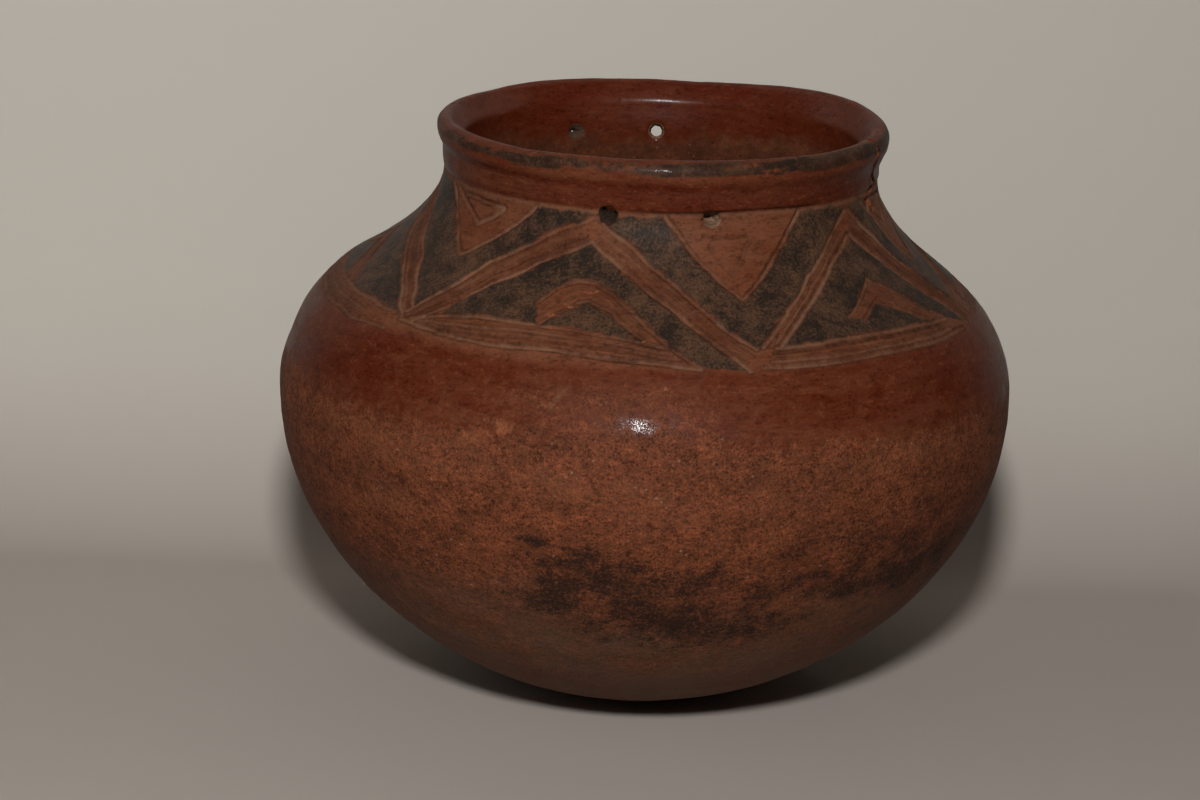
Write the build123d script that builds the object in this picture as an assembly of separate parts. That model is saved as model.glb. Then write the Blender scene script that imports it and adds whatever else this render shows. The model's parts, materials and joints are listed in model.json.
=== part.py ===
from build123d import *
import os
from math import cos, radians, sin

# A coil-built earthenware jar: round base, globular body, short pierced neck and rolled lip.
# The clay courses are ring solids that meet face to face along slanting, luted seams.
# Millimetres, +Z up. The origin is on the floor under the middle of the jar, and -Y is its front.

# Outside of the wall, from the edge of the worn foot up to the widest place of the lip
foot_radius = 26.0
foot_slope = 11.0          # degrees by which the wall rises where it leaves the floor
heel_radius = 68.0
heel_height = 16.5
flank_radius = 104.3
flank_height = 51.3
belly_radius = 118.3
belly_height = 91.4
shoulder_inset = 6.1       # how far the shoulder stands in from the belly
shoulder_height = 123.0
yoke_radius = 92.2
yoke_height = 141.4
collar_radius = 77.3
collar_height = 154.5
throat_radius = 69.8
throat_height = 171.5
lip_radius = 72.4
lip_height = 182.7

# Thickness of the clay
wall = 7.0
floor_thickness = 8.5
lip_thickness = 10.0

# How the wall is divided into courses
body_coils = 5
shoulder_coils = 4
lip_skirt = 5.5            # how far the lip roll reaches down the outside of the neck
seam_lap = 4.0             # how far a seam runs down the wall on its way to the inside

# Cord holes, in two pairs across the mouth, each hole sloping down and out
hole_diameter = 5.6
hole_height = 169.9
hole_slope = 14.0          # degrees
hole_spread = 26.0         # degrees between the two holes of a pair
front_pair = 2.4           # degrees round from the front, towards +X
back_pair = 192.1


def at(radius, height):
    return Vector(radius, 0, height)


def wall_outline():
    stations = [
        at(foot_radius, 0),
        at(heel_radius, heel_height),
        at(flank_radius, flank_height),
        at(belly_radius, belly_height),
        at(belly_radius - shoulder_inset, shoulder_height),
        at(yoke_radius, yoke_height),
        at(collar_radius, collar_height),
        at(throat_radius, throat_height),
        at(lip_radius, lip_height),
    ]
    leaving_floor = Vector(cos(radians(foot_slope)), 0, sin(radians(foot_slope)))
    return Spline(stations, tangents=[leaving_floor, Vector(0, 0, 1)])


outline = wall_outline()
lap = seam_lap / outline.length
heel_seam = outline.param_at_point(at(heel_radius, heel_height))
belly_seam = outline.param_at_point(at(belly_radius, belly_height))
collar_seam = outline.param_at_point(at(collar_radius, collar_height))
lip_seam = 1 - lip_skirt / outline.length


def inside_point(place):
    along = outline.tangent_at(place)
    return outline.position_at(place) + Vector(-along.Z, 0, along.X) * wall


def seam_line(place):
    return Line(outline.position_at(place), inside_point(place - lap))


def outside_edge(low, high):
    return outline.trim(outline.position_at(low), outline.position_at(high))


def inside_edge(low, high):
    points = [inside_point(low), inside_point((low + high) / 2), inside_point(high)]
    return Spline(points, tangents=[outline.tangent_at(low), outline.tangent_at(high)])


def turned(*edges):
    return revolve(make_face(edges), Axis.Z)


def coil(low, high):
    return turned(
        outside_edge(low, high),
        seam_line(high),
        inside_edge(low - lap, high - lap),
        seam_line(low),
    )


def coils(low, high, count):
    seams = [low + (high - low) * step / count for step in range(count + 1)]
    return [coil(seams[step], seams[step + 1]) for step in range(count)]


def base_bowl():
    foot = at(foot_radius, 0)
    floor_top = at(0, floor_thickness)
    rim = heel_seam - lap
    hollow = Spline(
        [floor_top, inside_point(rim / 2), inside_point(rim)],
        tangents=[Vector(1, 0, 0), outline.tangent_at(rim)],
    )
    return turned(
        Line(at(0, 0), foot),
        outline.trim(foot, outline.position_at(heel_seam)),
        seam_line(heel_seam),
        hollow,
        Line(floor_top, at(0, 0)),
    )


def hole_place(azimuth):
    turn = radians(azimuth)
    outward = Vector(sin(turn), -cos(turn), 0)
    drop = Vector(0, 0, -sin(radians(hole_slope)))
    middle = outward * (throat_radius - wall / 2) + Vector(0, 0, hole_height)
    return Plane(origin=middle, z_dir=outward * cos(radians(hole_slope)) + drop)


def neck_collar():
    collar = coil(collar_seam, lip_seam)
    drill = Cylinder(hole_diameter / 2, 3 * wall)
    for pair in (front_pair, back_pair):
        for side in (-1, 1):
            collar -= hole_place(pair + side * hole_spread / 2) * drill
    return collar


def lip_roll():
    outer = at(lip_radius, lip_height)
    crest = at(lip_radius - lip_thickness / 2, lip_height + lip_thickness / 2)
    inner = at(lip_radius - lip_thickness, lip_height)
    throat = lip_seam - lap
    return turned(
        outline.trim(outline.position_at(lip_seam), outer),
        ThreePointArc(outer, crest, inner),
        Spline([inner, inside_point(throat)], tangents=[Vector(0, 0, -1), -outline.tangent_at(throat)]),
        seam_line(lip_seam),
    )


courses = {"base_bowl": base_bowl()}
for number, ring in enumerate(coils(heel_seam, belly_seam, body_coils), 1):
    courses[f"body_coil_{number}"] = ring
for number, ring in enumerate(coils(belly_seam, collar_seam, shoulder_coils), 1):
    courses[f"shoulder_coil_{number}"] = ring
courses["neck_collar"] = neck_collar()
courses["lip_roll"] = lip_roll()

os.makedirs("parts", exist_ok=True)
for name, course in courses.items():
    export_step(course, f"parts/{name}.step")
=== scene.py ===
import json

import bpy
import numpy as np
from mathutils import Matrix


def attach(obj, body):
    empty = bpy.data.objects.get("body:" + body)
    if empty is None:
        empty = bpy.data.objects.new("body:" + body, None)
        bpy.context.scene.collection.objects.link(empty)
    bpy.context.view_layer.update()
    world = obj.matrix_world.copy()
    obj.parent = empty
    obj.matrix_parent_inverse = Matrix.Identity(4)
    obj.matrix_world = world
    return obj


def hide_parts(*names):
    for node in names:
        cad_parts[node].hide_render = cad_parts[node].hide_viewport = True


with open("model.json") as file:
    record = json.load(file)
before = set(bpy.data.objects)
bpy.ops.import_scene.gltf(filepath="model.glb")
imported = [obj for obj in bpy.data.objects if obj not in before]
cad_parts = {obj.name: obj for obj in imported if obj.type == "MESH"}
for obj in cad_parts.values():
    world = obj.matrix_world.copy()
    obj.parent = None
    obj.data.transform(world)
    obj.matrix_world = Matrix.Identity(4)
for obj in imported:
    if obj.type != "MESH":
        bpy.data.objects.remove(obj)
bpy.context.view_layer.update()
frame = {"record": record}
mm = 0.001  # sizes below are millimetres, angles are degrees round from the front towards +X

# Wall outline and courses, the same as in the CAD
wallForm = {
    "stations": [(26.0, 0.0), (68.0, 16.5), (104.3, 51.3), (118.3, 91.4), (112.2, 123.0),
                 (92.2, 141.4), (77.3, 154.5), (69.8, 171.5), (72.4, 182.7)],
    "heel": 1,
    "belly": 3,
    "collar": 6,
    "footSlope": 11.0,
    "thick": 7.0,
    "floor": 8.5,
    "lip": 10.0,
    "lipSkirt": 5.5,
    "lap": 4.0,
    "neckLap": 1.2,         # the seam under the lip runs flatter here, clear of the cord holes
    "bodyCoils": 5,
    "shoulderCoils": 4,
    "lean": 2.7,            # the hand-set neck stands a little off the axis, towards +X
    "leanFrom": 120.0,
    "leanTo": 168.0,
}
meshGrid = {"fineColumns": 1080, "coarseColumns": 540, "firstColumn": 45.0}


def smoothStep(low, high, value):
    t = np.clip((value - low) / (high - low), 0, 1)
    return t * t * (3 - 2 * t)


def bell(offset, width):
    return np.exp(-(offset / width) ** 2)


def splineThrough(places, firstWay, lastWay, count=4000):
    places = np.array(places, float)
    steps = np.hypot(*np.diff(places, axis=0).T)
    knots = np.concatenate([[0], np.cumsum(steps)])
    last = len(places) - 1
    system, right = np.eye(last + 1), np.zeros((last + 1, 2))
    right[0], right[last] = firstWay, lastWay
    for k in range(1, last):  # slopes with even curvature at each place
        before, after = steps[k - 1], steps[k]
        system[k, k - 1:k + 2] = after, 2 * (before + after), before
        rise = after / before * (places[k] - places[k - 1]) + before / after * (places[k + 1] - places[k])
        right[k] = 3 * rise
    slopes = np.linalg.solve(system, right)
    u = np.linspace(0, knots[-1], count)
    k = np.clip(np.searchsorted(knots, u, "right") - 1, 0, last - 1)
    h = steps[k][:, None]
    t = (u[:, None] - knots[k][:, None]) / h
    line = (2 * t**3 - 3 * t**2 + 1) * places[k] + (3 * t**2 - 2 * t**3) * places[k + 1]
    line += h * ((t**3 - 2 * t**2 + t) * slopes[k] + (t**3 - t**2) * slopes[k + 1])
    arc = np.concatenate([[0], np.cumsum(np.hypot(*np.diff(line, axis=0).T))])
    return line, arc, np.interp(knots, u, arc)


footTurn = np.radians(wallForm["footSlope"])
outline, outlineArc, stationArc = splineThrough(
    wallForm["stations"], (np.cos(footTurn), np.sin(footTurn)), (0, 1))
tangent = np.gradient(outline, outlineArc, axis=0)
tangent /= np.hypot(*tangent.T)[:, None]
wallTop = outlineArc[-1]
lipSeam = wallTop - wallForm["lipSkirt"]
lap, neckLap = wallForm["lap"], wallForm["neckLap"]


def wallPlace(arc):
    r, z = np.interp(arc, outlineArc, outline[:, 0]), np.interp(arc, outlineArc, outline[:, 1])
    tr, tz = np.interp(arc, outlineArc, tangent[:, 0]), np.interp(arc, outlineArc, tangent[:, 1])
    return r, z, tz, -tr  # radius, height and the outward normal


def arcAt(height):
    return np.interp(height, outline[:, 1], outlineArc)


def neckLean(height):
    return wallForm["lean"] * smoothStep(wallForm["leanFrom"], wallForm["leanTo"], height)


def around(theta, radius, height):
    turn = np.radians(theta)
    x = radius * np.sin(turn) + neckLean(height)
    return np.stack([x, -radius * np.cos(turn), height + 0 * x], -1) * mm


# Seeded random field round the jar, -1 to 1, with cells round and step mm up the wall
def grainField(theta, arc, cells, step, seed):
    rows = int(340 / step) + 4
    lattice = np.random.default_rng(seed).uniform(-1, 1, (rows, cells))
    u = theta / 360 % 1 * cells
    v = np.clip((arc + 20) / step, 0, rows - 2)
    i, j = np.floor(u).astype(int), np.floor(v).astype(int)
    s, t = u - i, v - j
    s, t = s * s * (3 - 2 * s), t * t * (3 - 2 * t)
    i, k = i % cells, (i + 1) % cells
    low = lattice[j, i] * (1 - s) + lattice[j, k] * s
    high = lattice[j + 1, i] * (1 - s) + lattice[j + 1, k] * s
    return low * (1 - t) + high * t


def turnBy(theta, other):
    return (other - theta + 180) % 360 - 180


markNames = ("lift", "slip", "graphite", "line", "groove", "dusty", "soot", "pale", "chip", "dirt")


def noMarks(shape):
    return {name: np.zeros(shape) for name in markNames}


# The incised frieze: a zigzag band, with hanging triangles above it and standing ones below
frieze = {
    "peaks": [-15.6, 56.6, 118.0, 196.0, 272.6],
    "valleys": [18.7, 78.0, 157.0, 236.2, 311.5],   # each to the right of its peak
    "tips": [208.2, 210.0, 213.5, 208.5, 215.5],    # lowest points of the hanging triangles
    "crease": 237.4,                                # up the wall, where the neck begins
    "bandTop": (234.6, 191.0),
    "bandUnder": (226.4, 186.2),
    "baseTop": 190.4,
    "baseUnder": 183.0,
    "straight": 0.6,                                # share of a leg that is straight, the rest bows
    "lineWide": 0.55,
    "lineDeep": 0.9,
    "lowest": 176.0,                                # nothing is cut below this
    "overlap": 3.0,                                 # how far the search runs past the crease
    "combs": 5,                                     # fine strokes along each band
    "seed": 41,
}

# The repeats that face the camera, point by point: (degrees, mm up the wall)
frontPeak = {
    "upLeft": [(-15.9, 235.1), (-28.7, 226.7), (-38.9, 215.9), (-45.1, 200.9), (-48.5, 190.8)],
    "upRight": [(-15.2, 235.0), (-5.2, 224.9), (4.7, 213.6), (10.0, 204.9), (14.5, 196.7), (18.6, 189.6)],
    "lowLeft": [(-15.8, 226.8), (-26.1, 218.6), (-35.0, 208.0), (-40.3, 197.3), (-45.6, 188.4)],
    "lowRight": [(-15.4, 226.6), (-4.3, 215.5), (4.8, 203.9), (9.6, 195.9), (13.8, 187.8), (16.9, 181.9)],
    "chevronOuter": [(-22.9, 204.1), (-19.9, 209.8), (-16.0, 213.0), (-12.5, 213.1), (-8.1, 209.8),
                     (-3.7, 203.4), (0.7, 195.7), (3.6, 190.8), (8.4, 183.2)],
    "chevronInner": [(-1.1, 193.3), (-4.3, 198.2), (-8.4, 203.8), (-12.5, 206.7), (-14.5, 205.9),
                     (-17.8, 201.1), (-20.3, 196.3)],
    "baseTop": [(-46.4, 189.0), (-41.1, 192.3), (-33.0, 195.0), (-24.8, 195.6), (-16.0, 195.3),
                (-6.2, 193.4), (3.4, 190.4)],
    "baseUnder": [(-48.3, 187.7), (-34.3, 186.5), (-27.2, 185.8), (-16.8, 186.9), (-6.3, 185.5),
                  (1.1, 184.4), (8.8, 182.3)],
    "foot": [(14.2, 181.2), (10.8, 181.8), (8.8, 182.8), (3.6, 190.6)],     # the black runs down to the base
    "stroke": [(10.8, 230.6), (14.7, 229.7), (18.8, 229.8), (22.2, 230.2)],
    "faintNest": [(12.6, 227.0), (17.3, 217.6), (22.6, 228.6)],
}
rightPeak = {
    "upLeft": [(56.2, 234.0), (47.3, 226.6), (35.6, 215.0), (27.1, 202.5), (19.9, 190.2)],
    "upRight": [(57.0, 233.6), (65.2, 223.4), (69.9, 211.7), (73.2, 200.9), (75.6, 190.2), (77.6, 184.0)],
    "lowLeft": [(54.4, 226.0), (43.4, 217.3), (34.2, 206.3), (28.3, 198.2), (23.7, 190.7)],
    "lowRight": [(55.2, 226.0), (60.3, 217.9), (64.6, 207.9), (68.2, 198.1), (71.4, 188.1), (73.4, 182.4)],
    "chevronOuter": [(40.7, 198.4), (52.3, 210.0), (56.2, 205.5), (60.8, 197.9), (65.3, 188.6)],
    "chevronInner": [(62.3, 188.3), (57.6, 194.0), (53.5, 199.1), (49.8, 201.6), (44.0, 196.4)],
    "baseTop": [(22.5, 189.9), (28.7, 190.3), (43.5, 190.6), (54.3, 189.4), (66.3, 187.4)],
    "baseUnder": [(19.2, 183.1), (27.2, 182.8), (37.8, 183.2), (50.6, 182.8), (70.0, 181.8)],
}
leftPeak = {
    "upRight": [(272.9, 234.6), (287.8, 220.3), (298.6, 211.2), (307.8, 199.9), (311.9, 193.0)],
    "lowRight": [(272.8, 226.4), (280.5, 216.3), (293.0, 208.6), (304.1, 198.1), (311.4, 188.7)],
}
shownPeaks = {0: frontPeak, 1: rightPeak, 4: leftPeak}


def leg(start, end, top, foot, steps=9):
    share = frieze["straight"]
    return [(start + (end - start) * f, top - (top - foot) * (share * f + (1 - share) * f * f))
            for f in np.linspace(0, 1, steps)]


def between(upper, lower, share):
    return [(a[0] * (1 - share) + b[0] * share, a[1] * (1 - share) + b[1] * share)
            for a, b in zip(upper, lower)]


def portion(path, first, last, steps=12):
    at = np.linspace(first, last, steps) * (len(path) - 1)
    turns, arcs = np.array(path).T
    index = np.arange(len(path))
    return list(zip(np.interp(at, index, turns), np.interp(at, index, arcs)))


# One repeat: the cut lines as (path, width, depth, dust) and the areas that are painted or kept red
def repeatMarks(k):
    peak, right, tip = frieze["peaks"][k], frieze["valleys"][k], frieze["tips"][k]
    left = frieze["valleys"][k - 1] - (360 if k == 0 else 0)
    after = frieze["peaks"][(k + 1) % 5] + (360 if k == 4 else 0)
    topHigh, topLow = frieze["bandTop"]
    underHigh, underLow = frieze["bandUnder"]
    wide, deep, combs = frieze["lineWide"], frieze["lineDeep"], frieze["combs"]
    drawn = {
        "upLeft": leg(peak - 0.3, left, topHigh, topLow),
        "upRight": leg(peak + 0.3, right, topHigh, topLow),
        "lowLeft": leg(peak - 0.2, left + 3.4, underHigh, underLow + 2),
        "lowRight": leg(peak + 0.2, right - 2.6, underHigh, underLow),
        "chevronOuter": [(peak - 14.5, 198.0), (peak - 3.2, 211.0), (peak + 17.0, 190.4)],
        "chevronInner": [(peak + 11.5, 190.4), (peak - 3.0, 203.4), (peak - 10.6, 197.2)],
    }
    spread = right - left
    drawn["baseTop"] = [(left + spread * f, frieze["baseTop"] + np.sin(np.pi * f) - 1.2 * f)
                        for f in np.linspace(0.05, 0.95, 8)]
    drawn["baseUnder"] = [(left + spread * f, frieze["baseUnder"] - 0.5 * np.sin(9 * f))
                          for f in np.linspace(0.02, 0.98, 8)]
    drawn.update(shownPeaks.get(k, {}))
    nextLeft = shownPeaks.get((k + 1) % 5, {}).get("upLeft") or leg(after - 0.3, right, topHigh, topLow)
    upNext = [(turn + (360 if k == 4 else 0), arc) for turn, arc in nextLeft] if k in (0, 4) else nextLeft
    lines = [(drawn[part], wide, deep, 1) for part in ("upLeft", "upRight", "lowLeft", "lowRight")]
    rough = np.random.default_rng(frieze["seed"] + 100 + k)
    for upper, lower in (("upLeft", "lowLeft"), ("upRight", "lowRight"), ("baseTop", "baseUnder")):
        for share in (np.arange(combs) + rough.uniform(0.2, 0.8, combs)) / combs:
            path = between(drawn[upper], drawn[lower], share)
            path = portion(path, rough.uniform(0, 0.12), 1 - rough.uniform(0, 0.12))
            weight = rough.uniform(0.3, 0.75)
            dust = rough.choice([0.05, 0.15, 0.3, 0.55])
            lines.append((path, wide * rough.uniform(0.5, 0.85), deep * weight, dust))
    hangTop = frieze["crease"] - 1.4
    hang = [((peak + right) / 2, hangTop), (right - 0.3, tip), ((after + right) / 2, hangTop)]
    lines.append((hang, wide, deep, 0.9))
    if k == 0:  # a short stroke and a faint nested triangle beside the front hole
        lines.append((drawn["stroke"], wide * 0.36, deep * 1.2, 0.05))
        lines.append((drawn["faintNest"], wide * 0.8, deep * 0.25, 0.15))
    else:       # a nested triangle in the hanging one
        nest = [(right - 14.5, 235.2), (right - 1.2, 224.8 + (tip - 212) / 2), (right + 6.0, 232.6)]
        lines.append((nest, wide * 1.25, deep, 1))
        lines.append(([(right - 10.6, 234.4), (right + 6.2, 233.4)], wide, deep, 0.8))
    outer, inner = drawn["chevronOuter"], drawn["chevronInner"]
    lines.append((outer, wide * 0.9, deep * 0.9, 0.45))
    lines.append((inner, wide * 0.9, deep * 0.9, 0.45))
    for share in (0.3, 0.62):
        middle = between(outer, inner[::-1], share)
        lines.append((middle, wide * 0.6, deep * 0.35, 0.2))
    lines.append((drawn["baseTop"], wide, deep * 0.9, 0.7))
    lines.append((drawn["baseUnder"], wide, deep * 0.9, 0.8))
    hanging = drawn["upRight"] + upNext[::-1] + [(after - 1, hangTop + 0.6)]
    hanging = hanging + hang[::-1] + [(peak + 1, hangTop + 0.6)]
    cut = 1 if k == 0 else 0     # the paint stops short of this corner
    standing = drawn["lowLeft"][::-1][cut:] + drawn["lowRight"] + drawn.get("foot", [])
    standing = standing + drawn["baseTop"][::-1][:len(drawn["baseTop"]) - cut]
    return lines, hanging, standing, outer + inner


def strokeDistance(theta, arc, scale, path, closed=False):
    best = np.full(theta.shape, 99.0)
    ends = path[1:] + (path[:1] if closed else [])
    for (ta, sa), (tb, sb) in zip(path, ends):
        ax, ay = turnBy(theta, ta) * scale, sa - arc
        dx, dy = (tb - ta) * scale, sb - sa
        t = np.clip(-(ax * dx + ay * dy) / (dx * dx + dy * dy + 1e-9), 0, 1)
        best = np.minimum(best, np.hypot(ax + t * dx, ay + t * dy))
    return best


# Distance to the edge of an area, positive inside it
def areaDepth(theta, arc, scale, area):
    middle = sum(p[0] for p in area) / len(area)
    place = -turnBy(theta, middle) + middle
    inside = np.zeros(theta.shape, bool)
    for (ta, sa), (tb, sb) in zip(area, area[1:] + area[:1]):
        if sa != sb:
            crossing = (sa > arc) != (sb > arc)
            inside ^= crossing & (place < ta + (tb - ta) * (arc - sa) / (sb - sa))
    edge = strokeDistance(theta, arc, scale, area, closed=True)
    return np.where(inside, edge, -edge)


repeats = [repeatMarks(k) for k in range(5)]


def drawFrieze(theta, arc, marks):
    near = (arc > frieze["lowest"]) & (arc < frieze["crease"] + frieze["overlap"])
    if not near.any():
        return
    t, a = theta[near], arc[near]

    def grain(cells, step, shift):
        return grainField(t, a, cells, step, frieze["seed"] + shift)

    t = t + 0.36 * grain(60, 7, 0) + 0.14 * grain(220, 2.2, 6)
    a = a + 0.5 * grain(60, 7, 1) + 0.18 * grain(220, 2.2, 7)  # the hand wavers
    scale = np.radians(wallPlace(a)[0])
    fray = 0.4 * grain(90, 5, 8) + 0.6 * grain(300, 1.6, 2)
    press = 0.75 + 0.45 * grain(40, 9, 3)
    dusted = smoothStep(-1.0, 0.3, grain(36, 11, 4) + 0.5 * grain(160, 2.6, 5))
    lift, line, paintedCutShade, paint = (np.zeros(t.shape) for _ in range(4))
    below = smoothStep(frieze["crease"] + 0.2, frieze["crease"] - 0.8, a)
    for lines, hanging, standing, chevron in repeats:
        for path, wide, deep, dust in lines:
            span = [p[0] for p in path]
            middle, half = (max(span) + min(span)) / 2, (max(span) - min(span)) / 2 + 3
            pick = np.abs(turnBy(t, middle)) < half
            far = strokeDistance(t[pick], a[pick], scale[pick], path) / (0.7 + 0.45 * press[pick])
            cut = bell(far, wide)
            burr = bell(far - 2.0 * wide, 0.7 * wide)
            lift[pick] = np.minimum(lift[pick], -deep * press[pick] * cut) + 0.18 * deep * burr * press[pick]
            line[pick] = np.maximum(line[pick], bell(far, 1.15 * wide) * dust)
            # dark colour beside each cut, and in a cut that holds little dust: painted shade in the grooves
            edge = bell(far - 1.5 * wide, 0.55 * wide) + (1 - dust) * cut
            paintedCutShade[pick] = np.maximum(paintedCutShade[pick], np.minimum(edge, 1) * min(1, 0.25 + deep))
        for area, kept in ((hanging, None), (standing, chevron)):
            middle = sum(p[0] for p in area) / len(area)
            pick = np.abs(turnBy(t, middle)) < 50
            depth = areaDepth(t[pick], a[pick], scale[pick], area)
            if kept:
                depth = np.minimum(depth, -areaDepth(t[pick], a[pick], scale[pick], kept))
            paint[pick] = np.maximum(paint[pick], smoothStep(-1.0, 1.5, depth - 0.4 + fray[pick]))
    line = line * dusted
    paintedCutShade = paintedCutShade * (1 - line)
    marks["lift"][near] += lift * below
    marks["line"][near] = line * below
    marks["groove"][near] = paintedCutShade * below
    marks["graphite"][near] = paint * below


# Smoke-blackened places and chips: (degrees, height, half width, half height, strength)
wear = {
    "soot": [(2, 62, 26, 22, 0.45), (-16.2, 79.7, 3.5, 1.6, 0.6), (-9, 75, 8, 5, 0.5), (-11, 67, 7, 7, 0.65),
             (-14, 59, 6, 5, 0.6), (-3, 68, 7, 8, 0.35), (0, 57, 9, 6, 0.45), (8, 68, 4.5, 7, 0.6),
             (8, 54, 12, 6, 0.45), (17, 52, 13, 8, 0.4), (-1, 47, 14, 6, 0.35), (19, 67, 9, 8, 0.3),
             (24, 76, 4, 1.6, 0.5), (30, 80, 7, 2.2, 0.5), (38, 77, 7, 3, 0.55), (44, 73, 5, 5, 0.5),
             (49, 85, 3, 4, 0.55), (34, 62, 14, 9, 0.5), (46, 62, 12, 10, 0.63), (30, 42, 22, 12, 0.35),
             (58, 66, 14, 16, 0.6), (-24, 60, 8, 6, 0.3), (-39, 49, 14, 6, 0.3), (-44, 70, 7, 4, 0.2),
             (118, 62, 26, 20, 0.7), (104, 50, 16, 10, 0.5), (152, 76, 14, 10, 0.5), (214, 58, 22, 16, 0.7),
             (198, 66, 10, 8, 0.5), (262, 70, 24, 11, 0.5), (292, 48, 18, 14, 0.4)],
    "pale": [(-36, 103, 15, 7, 0.8), (-58, 108, 9, 5, 0.55), (-14, 98, 14, 6, 0.5), (8, 92, 16, 7, 0.4),
             (-40, 86, 9, 5, 0.5), (44, 103, 16, 5, 0.5), (100, 100, 22, 7, 0.6), (170, 94, 20, 8, 0.6),
             (236, 102, 24, 7, 0.7)],
    "chips": [(-20.6, 113.4, 1.1, 2.6, 1), (-24.9, 109.6, 2.4, 1.7, 0.6), (-35.3, 85.9, 0.5, 0.6, 1),
              (-58, 117, 1.2, 1.0, 0.5), (41, 100, 0.9, 0.7, 0.5), (70, 96, 1.3, 1.1, 0.6),
              (141, 118, 1.6, 1.2, 0.7), (188, 104, 2.0, 1.5, 0.7), (226, 121, 1.2, 1.6, 0.8),
              (282, 99, 1.8, 1.0, 0.6)],
    "flakes": [(-19.3, 199.9, 1.5, 0.5), (-16.2, 203.9, 1.5, 0.5), (-13.4, 209.6, 1.4, 0.4),
               (-11.8, 210.4, 0.9, 0.4), (-18.1, 194.9, 1.2, 0.4), (-17.3, 204.4, 0.8, 0.4),
               (-1.0, 192.6, 0.5, 0.4)],
    "scratches": [[(-13.9, 168.0), (-12.8, 172.5), (-11.6, 175.2)], [(150, 166), (158, 160)],
                  [(240, 148), (246, 156), (249, 158)]],
    "crack": [(69.4, 256), (69.9, 252), (70.4, 248), (70.6, 244.5), (71.4, 241.6), (74.8, 238.6),
              (71.0, 236.2), (69.6, 234.0), (72.6, 231.0)],
    "seed": 7,
}


def blotch(theta, arc, spots, seed, soften=0.42):
    wave = grainField(theta, arc, 120, 4.5, seed) + 0.6 * grainField(theta, arc, 300, 2, seed + 1)
    clear = np.ones(theta.shape)
    for turn, height, wide, high, strength in spots:
        x = turnBy(theta, turn) / wide
        y = (arc - arcAt(height)) / high
        clear *= 1 - strength * smoothStep(1.7, 0.1, np.hypot(x, y) + soften * wave)
    return 1 - clear


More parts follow.
